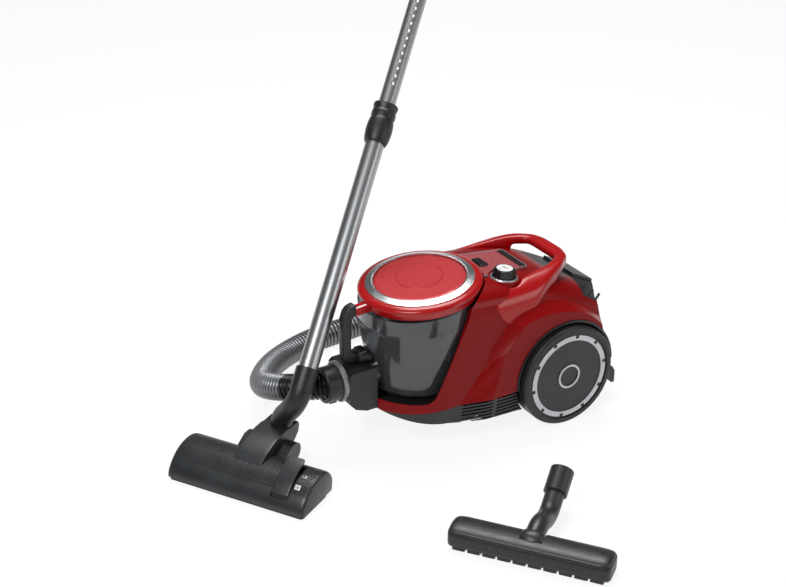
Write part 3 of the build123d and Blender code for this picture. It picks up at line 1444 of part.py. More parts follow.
ELBOW_ROUTE = (
    tuple(elbow_foot),
    tuple(elbow_foot + Vector(0, 0, 30)),
    tuple(wand_foot),
    tuple(wand_foot + wand_axis * SOCKET_LENGTH),
)
with BuildPart() as nozzle_elbow:
    add(tube_along(ELBOW_ROUTE, ELBOW_R, 0))
    with BuildSketch(wand_plane(SOCKET_LENGTH - 42)):
        Circle(ELBOW_R + 1.2)
    extrude(amount=42)
    add(tube_along(ELBOW_ROUTE, ELBOW_R - ELBOW_WALL, 0), mode=Mode.SUBTRACT)
    with BuildSketch(wand_plane(SOCKET_LENGTH - SOCKET_BORE)):
        Circle(WAND_R + RUN_FIT)
    extrude(amount=SOCKET_BORE + 1, mode=Mode.SUBTRACT)
print("elbow bend radii", bend_radii(ELBOW_ROUTE))
save(nozzle_elbow, "nozzle_elbow")

LOWER_TOP = 538.0
with BuildPart() as lower_tube:
    with BuildSketch(wand_plane(SOCKET_LENGTH - SOCKET_BORE)):
        Circle(WAND_R)
        Circle(WAND_R - WAND_WALL, mode=Mode.SUBTRACT)
    extrude(amount=LOWER_TOP - SOCKET_LENGTH + SOCKET_BORE)
    with BuildSketch(wand_plane(LOWER_TOP - 30)):
        Circle(WAND_R - WAND_WALL / 2)
        Circle(WAND_INNER_R + RUN_FIT, mode=Mode.SUBTRACT)
    extrude(amount=30)
save(lower_tube, "lower_tube")

collar_profile = Plane(origin=wand_foot, x_dir=wand_side, z_dir=wand_side.cross(wand_axis))
with BuildPart() as release_collar:
    with BuildSketch(collar_profile):
        with BuildLine():
            low = COLLAR_START
            high = COLLAR_END
            Line((WAND_R + RUN_FIT, low), (19, low))
            Spline((19, low), (22.8, low + 14), (22, low + 44), tangents=((0.6, 1), (-0.2, 1)))
            Polyline(
                (22, low + 44), (20.6, low + 48), (22, low + 52), (22, low + 59), (20.6, low + 63),
                (22.6, high - 3), (22, high), (WAND_INNER_R + 0.35, high),
                (WAND_INNER_R + 0.35, LOWER_TOP + 7),
                (WAND_R + RUN_FIT, LOWER_TOP + 7), (WAND_R + RUN_FIT, low),
            )
        make_face()
    revolve(axis=Axis(wand_foot, wand_axis))
save(release_collar, "release_collar")

UPPER_FOOT = 430.0
with BuildPart() as upper_tube:
    with BuildSketch(wand_plane(UPPER_FOOT)):
        Circle(WAND_INNER_R)
        Circle(WAND_INNER_R - WAND_WALL, mode=Mode.SUBTRACT)
    extrude(amount=WAND_LENGTH - UPPER_FOOT)
    face_turn = math.radians(NOTCH_TURN)
    notch_out = wand_face * math.cos(face_turn) + wand_side * math.sin(face_turn)
    notch_middle = (COLLAR_END + 30 + WAND_LENGTH - 60) / 2
    notch_count = int((WAND_LENGTH - 90 - COLLAR_END) / NOTCH_PITCH)
    notch_plane = Plane(
        origin=wand_foot + wand_axis * notch_middle + notch_out * (WAND_INNER_R - 0.5),
        x_dir=wand_axis,
        z_dir=notch_out,
    )
    with BuildSketch(notch_plane):
        with GridLocations(NOTCH_PITCH, 0, notch_count, 1):
            Rectangle(6, 9)
    extrude(amount=2, mode=Mode.SUBTRACT)
save(upper_tube, "upper_tube")

# ------------------------------------------------------------------ hard-floor nozzle
PARQUET = ((PARQUET_X, PARQUET_Y), PARQUET_TURN)
PARQUET_BODY_Z = 7.0
PARQUET_RIM_Z = 32.0
PARQUET_HEIGHT = 41.0
PARQUET_PIVOT = (32.0, 30.0)
PARQUET_PIN_R = 4.0
NECK_R = 17.0
SPIGOT_R = 13.0
SLEEVE_R = 20.0
TUFT_COUNT = 10
half_parquet = PARQUET_WIDTH / 2
with BuildPart() as hard_floor_body:
    with BuildSketch(side_plane(*PARQUET, -half_parquet)):
        with BuildLine():
            Polyline(
                (3, PARQUET_BODY_Z), (0, 14), (0, PARQUET_RIM_Z), (2, PARQUET_RIM_Z),
                (2, PARQUET_RIM_Z + 1.5), (0.5, PARQUET_RIM_Z + 1.5), (2, PARQUET_RIM_Z + 4),
                (12, PARQUET_HEIGHT - 1), (26, PARQUET_HEIGHT), (PARQUET_DEPTH - 14, PARQUET_HEIGHT - 3),
                (PARQUET_DEPTH - 3, PARQUET_RIM_Z), (PARQUET_DEPTH, 26), (PARQUET_DEPTH, 14),
                (PARQUET_DEPTH - 3, PARQUET_BODY_Z), close=True,
            )
        make_face()
    extrude(amount=PARQUET_WIDTH)
    with BuildSketch(floor_plane(*PARQUET, 0)):
        with Locations((PARQUET_DEPTH / 2, 0)):
            RectangleRounded(PARQUET_DEPTH, PARQUET_WIDTH, 12)
    extrude(amount=80, mode=Mode.INTERSECT)
    with BuildSketch(floor_plane(*PARQUET, 0)):
        with Locations((PARQUET_DEPTH / 2, 0)):
            Rectangle(PARQUET_DEPTH - 28, PARQUET_WIDTH - 34)
    extrude(amount=PARQUET_BODY_Z + 5, mode=Mode.SUBTRACT)
    with BuildSketch(floor_plane(*PARQUET, PARQUET_BODY_Z + 8)):
        with Locations((48, 0)):
            Rectangle(60, 2 * NECK_R + 2.6)
    extrude(amount=80, mode=Mode.SUBTRACT)
    for side in (-1, 1):
        with BuildSketch(side_plane(*PARQUET, min(side * 12, side * 20))):
            with Locations(PARQUET_PIVOT):
                Circle(PARQUET_PIN_R)
        extrude(amount=8)
save(hard_floor_body, "hard_floor_body")

with BuildPart() as hard_floor_bristles:
    with BuildSketch(floor_plane(*PARQUET, 0.2)):
        with Locations((8, 0), (PARQUET_DEPTH - 8, 0)):
            with GridLocations(0, (PARQUET_WIDTH - 16) / TUFT_COUNT, 1, TUFT_COUNT):
                Rectangle(8, 22)
    extrude(amount=PARQUET_BODY_Z - 0.2)
save(hard_floor_bristles, "hard_floor_bristles")

NECK_PLACES = ((32, 32), (64, 42), (112, 26), (150, 47))
NECK_ROUTE = tuple(tuple(local_point(*PARQUET, back, 0, height)) for back, height in NECK_PLACES)
neck_end = Vector(*NECK_ROUTE[-1])
neck_way = (neck_end - Vector(*NECK_ROUTE[-2])).normalized()
neck_plane = Plane(origin=neck_end, z_dir=neck_way)
with BuildPart() as hard_floor_neck:
    add(tube_along(NECK_ROUTE, NECK_R - 0.8, 0))
    with BuildSketch(side_plane(*PARQUET, -NECK_R)):
        with Locations(PARQUET_PIVOT):
            Circle(11)
    extrude(amount=2 * NECK_R)
    with BuildSketch(neck_plane):
        Circle(SPIGOT_R)
    extrude(amount=24)
    with BuildSketch(neck_plane.offset(-60)):
        Circle(10)
    extrude(amount=90, mode=Mode.SUBTRACT)
    with BuildSketch(side_plane(*PARQUET, -NECK_R - 6)):
        with Locations(PARQUET_PIVOT):
            Circle(PARQUET_PIN_R + RUN_FIT)
    extrude(amount=2 * NECK_R + 12, mode=Mode.SUBTRACT)
print("hard-floor neck bend radii", bend_radii(NECK_ROUTE))
save(hard_floor_neck, "hard_floor_neck")

with BuildPart() as hard_floor_sleeve:
    with BuildSketch(neck_plane.offset(SEAM)):
        Circle(SLEEVE_R)
        Circle(SPIGOT_R + RUN_FIT, mode=Mode.SUBTRACT)
    extrude(amount=24)
    with BuildSketch(neck_plane.offset(SEAM + 24)):
        Circle(SLEEVE_R)
        Circle(SLEEVE_R - 3.5, mode=Mode.SUBTRACT)
    extrude(amount=20)
save(hard_floor_sleeve, "hard_floor_sleeve")
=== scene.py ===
"""Looks of a bagless canister vacuum cleaner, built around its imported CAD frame.

Lengths are metres unless a name ends in _mm or a docstring says millimetres. The origin is on the
floor under the rear axle, +Z is up, and the hose inlet is at -X.
"""

from __future__ import annotations

import logging
import math
import random
import sys
from dataclasses import dataclass
from enum import Enum
from typing import Any, Sequence

import bpy
from mathutils import Matrix, Vector

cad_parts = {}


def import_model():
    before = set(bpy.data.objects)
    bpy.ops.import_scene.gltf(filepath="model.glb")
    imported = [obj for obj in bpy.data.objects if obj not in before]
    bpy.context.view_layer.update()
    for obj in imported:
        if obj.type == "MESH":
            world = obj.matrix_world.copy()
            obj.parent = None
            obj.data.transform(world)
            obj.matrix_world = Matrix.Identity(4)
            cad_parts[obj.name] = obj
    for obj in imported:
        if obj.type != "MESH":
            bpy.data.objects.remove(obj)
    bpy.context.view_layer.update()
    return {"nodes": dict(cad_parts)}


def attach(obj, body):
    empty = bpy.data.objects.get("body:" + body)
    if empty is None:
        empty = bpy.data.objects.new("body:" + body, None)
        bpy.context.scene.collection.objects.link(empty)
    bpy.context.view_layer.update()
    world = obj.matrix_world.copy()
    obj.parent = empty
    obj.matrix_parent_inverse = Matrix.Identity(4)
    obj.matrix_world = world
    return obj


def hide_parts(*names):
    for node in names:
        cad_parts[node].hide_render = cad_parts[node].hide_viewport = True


log = logging.getLogger("vacuum")
MM = 0.001
Point = tuple[float, float, float]
Pair = tuple[float, float]
Piece = bpy.types.Object
Tree = bpy.types.NodeTree
Node = bpy.types.Node
Socket = bpy.types.NodeSocket
COAT_ROUGHNESS = 0.04
BRUSH_WIDTH = 0.268
BRUSH_END = 0.008
BRUSH_ROWS = (0.008, 0.046)
TUFTS_PER_ROW = 10


def mm(*values: float) -> tuple[float, ...]:
    """Return millimetres as metres."""
    return tuple(value * MM for value in values)


def in_mm(rows: Sequence[Sequence[float]]) -> list[tuple[float, ...]]:
    """Return rows of millimetres as metres."""
    return [mm(*row) for row in rows]


# ---------------------------------------------------------------- colour and nodes
def linear(code: str) -> tuple[float, float, float, float]:
    """Turn an sRGB hex colour into linear red, green, blue and alpha.

    Args:
        code: six hexadecimal digits, with or without a leading #.

    Returns:
        The linear colour, alpha 1.
    """
    digits = code.lstrip("#")
    parts = [int(digits[i : i + 2], 16) / 255 for i in (0, 2, 4)]
    made = [c / 12.92 if c <= 0.04045 else ((c + 0.055) / 1.055) ** 2.4 for c in parts]
    return (made[0], made[1], made[2], 1.0)


def feed(source: Node | Socket) -> Socket:
    """Find the socket that a source gives.

    Args:
        source: an output socket, or a node.

    Returns:
        The socket itself, or the node's first working output.
    """
    if isinstance(source, Socket):
        return source
    return next(socket for socket in source.outputs if socket.enabled)


def add_node(
    tree: Tree,
    kind: str,
    values: dict[Any, Any] | None = None,
    links: dict[Any, Node | Socket] | None = None,
    into: Socket | None = None,
    **settings: Any,
) -> Node:
    """Add one node with its settings, constants and links.

    Args:
        tree: the node tree that gets the node.
        kind: the node's type name.
        values: constants by input name or number.
        links: what feeds each input, by input name or number.
        into: an input of another node that this one feeds.
        settings: the node's own properties.

    Returns:
        The new node.
    """
    made = tree.nodes.new(kind)
    for name, value in settings.items():
        setattr(made, name, value)
    for key, value in (values or {}).items():
        made.inputs[key].default_value = value
    for key, source in (links or {}).items():
        tree.links.new(feed(source), made.inputs[key])
    if into is not None:
        tree.links.new(feed(made), into)
    return made


def set_ramp(ramp: Node, stops: Sequence[tuple[float, str]]) -> None:
    """Give a Color Ramp its stops.

    Args:
        ramp: the Color Ramp node.
        stops: places from 0 to 1 with sRGB hex colours, in order.
    """
    elements = ramp.color_ramp.elements
    while len(elements) < len(stops):
        elements.new(1.0)
    for element, (place, code) in zip(elements, stops):
        element.position = place
        element.color = linear(code)


# ---------------------------------------------------------------- finishes
@dataclass(frozen=True)
class Finish:
    """A surface finish: what the material is and how its surface was made."""

    name: str
    colour: str
    roughness: float
    grain_mm: float = 0.9
    grain_depth: float = 0.15
    mottle: float = 0.12
    metallic: float = 0.0
    ior: float = 1.5
    coat: float = 0.0

    def build(self) -> bpy.types.Material:
        """Make the finish's material, once.

        Returns:
            The material.
        """
        found = bpy.data.materials.get(self.name)
        if found is not None:
            return found
        material = bpy.data.materials.new(self.name)
        material.use_nodes = True
        tree = material.node_tree
        tree.nodes.clear()
        base = linear(self.colour)
        shader = add_node(
            tree,
            "ShaderNodeBsdfPrincipled",
            {
                "Roughness": self.roughness, "Metallic": self.metallic, "Base Color": base,
                "Coat Weight": self.coat, "Coat Roughness": COAT_ROUGHNESS,
            },
        )
        if self.metallic < 1.0:
            shader.inputs["IOR"].default_value = self.ior
        add_node(tree, "ShaderNodeOutputMaterial", links={"Surface": shader})
        place = add_node(tree, "ShaderNodeTexCoord").outputs["Object"]
        material.diffuse_color = base
        self.dress(tree, shader, place)
        return material

    def dress(self, tree: Tree, shader: Node, place: Socket) -> None:
        """Add the finish's pattern: a fine moulded grain with slight wear.

        Args:
            tree: the material's node tree.
            shader: its Principled shader.
            place: Object coordinates, in metres.
        """
        grain = self.grain(tree, place)
        self.mottled(tree, shader, place)
        depth = {"Strength": self.grain_depth, "Distance": 0.4 * MM}
        add_node(tree, "ShaderNodeBump", depth, {"Height": grain}, shader.inputs["Normal"])

    def grain(self, tree: Tree, place: Socket) -> Node:
        """Add the moulded grain, spaced by grain_mm.

        Args:
            tree: the material's node tree.
            place: Object coordinates, in metres.

        Returns:
            The node that gives the grain's height.
        """
        spacing = {"Scale": 1.0 / (self.grain_mm * MM), "Detail": 3.0, "Roughness": 0.6}
        return add_node(tree, "ShaderNodeTexNoise", spacing, {"Vector": place})

    def mottled(self, tree: Tree, shader: Node, place: Socket) -> None:
        """Vary colour and roughness in soft patches 35 mm across, as handling does.

        Args:
            tree: the material's node tree.
            shader: its Principled shader.
            place: Object coordinates, in metres.
        """
        size = {"Scale": 1.0 / (35 * MM), "Detail": 2.0}
        patches = add_node(tree, "ShaderNodeTexNoise", size, {"Vector": place})
        low, high = 1.0 - self.mottle, 1.0 + self.mottle
        spans = {"From Min": 0.3, "From Max": 0.7, "To Min": low, "To Max": high}
        spread = add_node(tree, "ShaderNodeMapRange", spans, {"Value": patches})
        painted = shader.inputs["Base Color"]
        dull = shader.inputs["Roughness"]
        add_node(tree, "ShaderNodeHueSaturation", {"Color": linear(self.colour)}, {"Value": spread}, painted)
        add_node(tree, "ShaderNodeMath", {1: self.roughness}, {0: spread}, dull, operation="MULTIPLY")


@dataclass(frozen=True)
class MetallicLacquer(Finish):
    """ABS under metallic lacquer and clear coat: fine bright flakes in a deep colour."""

    flake: str = "#a5141a"
    flake_mm: float = 0.6
    flake_share: float = 0.15
    specular: float = 0.32

    def dress(self, tree: Tree, shader: Node, place: Socket) -> None:
        """Scatter flakes, drawn at 0.6 mm where real ones are too fine to show.

        Args:
            tree: the material's node tree.
            shader: its Principled shader.
            place: Object coordinates, in metres.
        """
        cells = add_node(tree, "ShaderNodeTexVoronoi", {"Scale": 1.0 / (self.flake_mm * MM)}, {"Vector": place})
        split = add_node(tree, "ShaderNodeSeparateColor", links={"Color": cells.outputs["Color"]})
        spans = {"From Min": 1.0 - self.flake_share, "From Max": 1.0, "To Max": 0.85}
        bright = add_node(tree, "ShaderNodeMapRange", spans, {"Value": split.outputs["Red"]})
        colours = {"A": linear(self.colour), "B": linear(self.flake)}
        painted = shader.inputs["Base Color"]
        add_node(tree, "ShaderNodeMix", colours, {"Factor": bright}, painted, data_type="RGBA")
        shader.inputs["Specular IOR Level"].default_value = self.specular
        peel = add_node(tree, "ShaderNodeTexNoise", {"Scale": 1.0 / (4 * MM), "Detail": 1.0}, {"Vector": place})
        depth = {"Strength": self.grain_depth, "Distance": 0.2 * MM}
        add_node(tree, "ShaderNodeBump", depth, {"Height": peel}, shader.inputs["Normal"])


@dataclass(frozen=True)
class HousingLacquer(MetallicLacquer):
    """The housing's lacquer, with bare black plastic inside the bin's recess."""

    axis_x: float = -0.231
    recess_radius: float = 0.1082
    inside: str = "#17181a"

    def dress(self, tree: Tree, shader: Node, place: Socket) -> None:
        """Lay the lacquer, then mask the recess round the bin's axis.

        Args:
            tree: the material's node tree.
            shader: its Principled shader.
            place: Object coordinates, in metres.
        """
        super().dress(tree, shader, place)
        base = shader.inputs["Base Color"]
        painted = base.links[0].from_socket
        spot = add_node(tree, "ShaderNodeSeparateXYZ", links={"Vector": place})
        away = add_node(tree, "ShaderNodeMath", {1: self.axis_x}, {0: spot.outputs["X"]}, operation="SUBTRACT")
        flat = add_node(tree, "ShaderNodeCombineXYZ", links={"X": away, "Y": spot.outputs["Y"]})
        reach = add_node(tree, "ShaderNodeVectorMath", links={0: flat}, operation="LENGTH")
        outside = add_node(tree, "ShaderNodeMath", {1: self.recess_radius}, {0: reach}, operation="GREATER_THAN")
        sources = {"Factor": outside, "B": painted}
        add_node(tree, "ShaderNodeMix", {"A": linear(self.inside)}, sources, base, data_type="RGBA")


@dataclass(frozen=True)
class DrawnTube(Finish):
    """Chromed steel tube: mirror-bright with faint drawing lines along its length."""

    along: Point = (0.559845, 0.411247, 0.71934)

    def dress(self, tree: Tree, shader: Node, place: Socket) -> None:
        """Draw streaks 0.8 mm wide and 300 mm long along the tube.

        Args:
            tree: the material's node tree.
            shader: its Principled shader.
            place: Object coordinates, in metres.
        """
        turn = Vector(self.along).rotation_difference(Vector((0, 0, 1))).to_euler()
        scale = (1 / (0.8 * MM), 1 / (0.8 * MM), 1 / (300 * MM))
        laid = add_node(tree, "ShaderNodeMapping", {"Rotation": turn, "Scale": scale}, {"Vector": place})
        streaks = add_node(tree, "ShaderNodeTexNoise", {"Scale": 1.0, "Detail": 2.0}, {"Vector": laid})
        spans = {"To Min": self.roughness * 0.8, "To Max": self.roughness * 1.3}
        add_node(tree, "ShaderNodeMapRange", spans, {"Value": streaks}, shader.inputs["Roughness"])
        depth = {"Strength": self.grain_depth, "Distance": 0.1 * MM}
        add_node(tree, "ShaderNodeBump", depth, {"Height": streaks}, shader.inputs["Normal"])


@dataclass(frozen=True)
class SpunChrome(Finish):
    """Chromed ring, polished on a lathe: the highlights spread across its turning marks."""

    centre: Point = (-0.227, 0.0, 0.288)

    def dress(self, tree: Tree, shader: Node, place: Socket) -> None:
        """Lay turning marks 0.6 mm apart around the ring.

        Args:
            tree: the material's node tree.
            shader: its Principled shader.
            place: Object coordinates, in metres.
        """
        local = add_node(tree, "ShaderNodeMapping", {"Location": Vector(self.centre) * -1.0}, {"Vector": place})
        reach = add_node(tree, "ShaderNodeVectorMath", links={0: local}, operation="LENGTH")
        spacing = {"Scale": 1 / (0.6 * MM), "Detail": 1.0}
        marks = add_node(tree, "ShaderNodeTexNoise", spacing, {"W": reach}, noise_dimensions="1D")
        depth = {"Strength": self.grain_depth, "Distance": 0.1 * MM}
        add_node(tree, "ShaderNodeBump", depth, {"Height": marks}, shader.inputs["Normal"])
        tangent = shader.inputs["Tangent"]
        up = {0: (0.0, 0.0, 1.0)}
        add_node(tree, "ShaderNodeVectorMath", up, {1: local}, tangent, operation="CROSS_PRODUCT")
        shader.inputs["Anisotropic"].default_value = 0.8


@dataclass(frozen=True)
class SmokedClear(Finish):
    """Injection-moulded clear SAN with a grey tint: polished, faintly wavy walls."""

    clearness: float = 0.88

    def dress(self, tree: Tree, shader: Node, place: Socket) -> None:
        """Let light through and add the slow waves of a moulded clear wall.

        Args:
            tree: the material's node tree.
            shader: its Principled shader.
            place: Object coordinates, in metres.
        """
        shader.inputs["Transmission Weight"].default_value = self.clearness
        waves = add_node(tree, "ShaderNodeTexNoise", {"Scale": 1.0 / (30 * MM), "Detail": 1.0}, {"Vector": place})
        depth = {"Strength": self.grain_depth, "Distance": 0.6 * MM}
        add_node(tree, "ShaderNodeBump", depth, {"Height": waves}, shader.inputs["Normal"])


@dataclass(frozen=True)
class DimpledPlastic(Finish):
    """Grained plastic with a field of small round dimples in one band of a nozzle's top, each painted near black
    at its middle as painted shade.
    """

    origin: Point = (-0.6262, -0.0578, 0.0)
    turn: float = 31.1
    pitch_mm: float = 4.2
    band: Pair = (0.018, 0.099)
    hollow_shade: str = "#08090a"

    def dress(self, tree: Tree, shader: Node, place: Socket) -> None:
        """Add the grain, then dimples on a square grid in the nozzle's own directions, with painted shade in each.

        Args:
            tree: the material's node tree.
            shader: its Principled shader.
            place: Object coordinates, in metres.
        """
        self.mottled(tree, shader, place)
        turn = math.radians(self.turn)
        shift = Matrix.Rotation(-turn, 3, "Z") @ Vector(self.origin) * -1.0
        moved = {"Rotation": (0.0, 0.0, -turn), "Location": shift}
        local = add_node(tree, "ShaderNodeMapping", moved, {"Vector": place})
        vector = "ShaderNodeVectorMath"
        pitch = (self.pitch_mm * MM,) * 3
        cell = add_node(tree, vector, {1: pitch}, {0: local}, operation="DIVIDE")
        part = add_node(tree, vector, links={0: cell}, operation="FRACTION")
        middle = add_node(tree, vector, {1: (0.5, 0.5, 0.0)}, {0: part}, operation="SUBTRACT")
        flat = add_node(tree, vector, {1: (1.0, 1.0, 0.0)}, {0: middle}, operation="MULTIPLY")
        reach = add_node(tree, vector, links={0: flat}, operation="LENGTH")
        spans = {"From Min": 0.12, "From Max": 0.36, "To Min": 0.0, "To Max": 1.0}
        bowl = add_node(tree, "ShaderNodeMapRange", spans, {"Value": reach}, interpolation_type="SMOOTHSTEP")
        spot = add_node(tree, "ShaderNodeSeparateXYZ", links={"Vector": local}).outputs["X"]
        maths = "ShaderNodeMath"
        near, far = self.band
        behind = add_node(tree, maths, {1: near}, {0: spot}, operation="GREATER_THAN")
        before = add_node(tree, maths, {1: far}, {0: spot}, operation="LESS_THAN")
        inside = add_node(tree, maths, links={0: behind, 1: before}, operation="MULTIPLY")
        height = add_node(tree, maths, links={0: bowl, 1: inside}, operation="MULTIPLY")
        # Painted shade: the colour goes near black towards each dimple's middle.
        shade_share = add_node(tree, maths, links={0: inside, 1: height}, operation="SUBTRACT")
        base = shader.inputs["Base Color"]
        sources = {"Factor": shade_share, "A": base.links[0].from_socket}
        add_node(tree, "ShaderNodeMix", {"B": linear(self.hollow_shade)}, sources, base, data_type="RGBA")
        shallow = {"Strength": self.grain_depth, "Distance": 0.3 * MM}
        fine = add_node(tree, "ShaderNodeBump", shallow, {"Height": self.grain(tree, place)})
        deep = {"Strength": 0.9, "Distance": 1.2 * MM}
        add_node(tree, "ShaderNodeBump", deep, {"Height": height, "Normal": fine}, shader.inputs["Normal"])


@dataclass(frozen=True)
class HoseVinyl(Finish):
    """Extruded pearl-grey EVA hose, black where it leaves the cuff."""

    painted_groove_shade: str = "#0d0e0f"
    painted_flank_shade: str = "#66686c"
    root: str = "#17181a"
    root_length: float = 0.085

    def dress(self, tree: Tree, shader: Node, place: Socket) -> None:
        """Paint shade into the grooves by the crest attribute, darkest at a groove's bottom, and colour the first
        ribs black by the along attribute.

        Args:
            tree: the material's node tree.
            shader: its Principled shader.
            place: Object coordinates, in metres.
        """
        crest = add_node(tree, "ShaderNodeAttribute", attribute_name="crest")
        along = add_node(tree, "ShaderNodeAttribute", attribute_name="along")
        # Painted shade: the colour darkens from crest to groove, standing in for the shade in the hose's folds.
        ramp = add_node(tree, "ShaderNodeValToRGB", links={"Fac": crest.outputs["Fac"]})
        set_ramp(ramp, ((0.15, self.painted_groove_shade), (0.42, self.painted_flank_shade), (0.9, self.colour)))
        reach = {0: along.outputs["Fac"]}
        far = add_node(tree, "ShaderNodeMath", {1: self.root_length}, reach, operation="GREATER_THAN")
        sources = {"Factor": far, "B": ramp}
        base = shader.inputs["Base Color"]
        add_node(tree, "ShaderNodeMix", {"A": linear(self.root)}, sources, base, data_type="RGBA")
        depth = {"Strength": self.grain_depth, "Distance": 0.2 * MM}
        add_node(tree, "ShaderNodeBump", depth, {"Height": self.grain(tree, place)}, shader.inputs["Normal"])


@dataclass(frozen=True)
class PleatedFleece(Finish):
    """Calendered polyester filter fleece: matt, with a visible tangle of fibres."""

    def dress(self, tree: Tree, shader: Node, place: Socket) -> None:
        """Draw the fibres as stretched noise and keep the soft patches of dust.

        Args:
            tree: the material's node tree.
            shader: its Principled shader.
            place: Object coordinates, in metres.
        """
        self.mottled(tree, shader, place)
        tangle = {"Scale": 1.0 / (4 * self.grain_mm * MM), "Distortion": 12.0, "Detail": 3.0}
        fibres = add_node(tree, "ShaderNodeTexWave", tangle, {"Vector": place})
        depth = {"Strength": self.grain_depth, "Distance": 0.4 * MM}
        add_node(tree, "ShaderNodeBump", depth, {"Height": fibres.outputs["Fac"]}, shader.inputs["Normal"])
        shader.inputs["Sheen Weight"].default_value = 0.2


class Look(Enum):
    """The finishes of the cleaner's pieces."""

    # Deep red lacquer over ABS: the colour stays dark in shade and clear at the edges.
    RED_HOUSING = HousingLacquer("lacquered_abs_red", "#7e0305", 0.3, coat=0.05, grain_depth=0.02, specular=0.14)
    # The same lacquer in a lighter red, painted light against the housing's darker red, and with more clear coat:
    # the lid and the handle mirror the lamps more sharply.
    RED_LID = MetallicLacquer("lacquered_abs_lid", "#a2070b", 0.26, coat=0.2, grain_depth=0.02)
    # The disc and the panel have coarse flakes: a paler red that sparkles.
    RED_DISC = MetallicLacquer(
        "sparkle_lacquer_disc", "#b4282c", 0.4, flake="#cc5a5c", flake_share=0.35, metallic=0.25, coat=0.3
    )
    RED_PANEL = MetallicLacquer(
        "sparkle_lacquer_panel", "#a83a40", 0.34, flake="#dc9a9c", flake_share=0.4, metallic=0.35, coat=0.3
    )
    # Polypropylene from a spark-eroded mould: satin black with broad, soft highlights.
    BLACK_SATIN = Finish("eroded_pp_black", "#17181a", 0.42, grain_depth=0.2)
    # ABS from a polished mould: near black with sharp reflections.
    BLACK_GLOSS = Finish("polished_abs_black", "#0c0d0e", 0.12, grain_mm=6.0, grain_depth=0.05, coat=0.3)
    # Grained ABS in dark grey: a fine texture that takes the edge off the highlights.
    ANTHRACITE = Finish("moulded_abs_anthracite", "#25282b", 0.38, grain_depth=0.18)
    WHEEL_DISC = Finish("moulded_abs_wheel", "#16181a", 0.36, grain_depth=0.18)
    # The same grey with a band of moulded dimples, each with painted shade at its middle, that read as a grid of
    # dark dots.
    NOZZLE = DimpledPlastic("dimpled_abs_anthracite", "#25282b", 0.36, grain_depth=0.15)
    # Thermoplastic rubber: dull and slightly rough, paler where it rolls.
    RUBBER = Finish("moulded_tpe_black", "#141516", 0.62, grain_depth=0.3, grain_mm=1.4)
    TYRE = Finish("soft_tpe_tyre", "#191a1b", 0.5, grain_depth=0.25, grain_mm=1.2, mottle=0.2)
    # Light ABS: even and clean, with hardly any patches.
    LIGHT_GREY = Finish("moulded_abs_light_grey", "#b9babc", 0.36, mottle=0.05)
    WHITE = Finish("moulded_abs_white", "#e4e4e4", 0.32, mottle=0.04)
    # The shroud seen through the bin: dark ABS with slow waves in its shine.
    SHROUD = Finish("moulded_abs_shroud", "#242628", 0.3, grain_mm=3.0, grain_depth=0.1)
    # Paints with metal powder: a grey sheen without clear reflections.
    RING_GREY = Finish("satin_chrome_paint", "#8d8f92", 0.42, metallic=0.6, mottle=0.05, grain_depth=0.03)
    SILVER = Finish("silver_paint_on_abs", "#b4b6b9", 0.3, metallic=0.85, mottle=0.06, grain_depth=0.1)
    # Plated on the lathe: highlights drawn out across the turning marks.
    CHROME = SpunChrome("chromed_abs_spun", "#cfd1d3", 0.24, metallic=1.0, grain_depth=0.1)
    # Drawn steel, chromed: long streaks of light down the tube.
    TUBE = DrawnTube("chromed_steel_tube", "#a6a8aa", 0.34, metallic=1.0, grain_depth=0.1)
    # Clear SAN with a smoky tint: see-through, darker where a wall is seen edge on.
    CLEAR = SmokedClear("smoked_san_clear", "#96999c", 0.05, ior=1.57, grain_depth=0.1)
    # Tinted acrylic: an almost black window with a hard shine.
    WINDOW = Finish("tinted_pmma_window", "#1d0e10", 0.06, ior=1.49, coat=0.5, grain_mm=20, grain_depth=0.02)
    # Pearl pigment in the hose: a metallic grey on the crests, with painted shade that darkens the flanks and
    # turns the grooves black.
    HOSE = HoseVinyl("pearl_eva_hose", "#7c7e81", 0.3, metallic=0.55, grain_depth=0.1)
    # Pressed fibres: no shine at all, and a soft glow at grazing angles.
    FLEECE = PleatedFleece("polyester_filter_fleece", "#c9c5b8", 0.85, grain_mm=0.7, grain_depth=0.5)
    # Nylon monofilament: black with a thin glint along each hair.
    BRISTLE = Finish("nylon_bristle_black", "#141414", 0.4, grain_mm=0.5)
    # Cast aluminium: grey and uneven, with a coarse skin from the die.
    MOTOR = Finish("die_cast_aluminium", "#8f9295", 0.45, metallic=0.9, grain_depth=0.4, grain_mm=1.6)
    # Zinc plate on steel: a bright, slightly blurred grey.
    SCREW = Finish("zinc_plated_steel", "#8a8c8f", 0.3, metallic=1.0)

    def material(self) -> bpy.types.Material:
        """Return the finish's material."""
        return self.value.build()


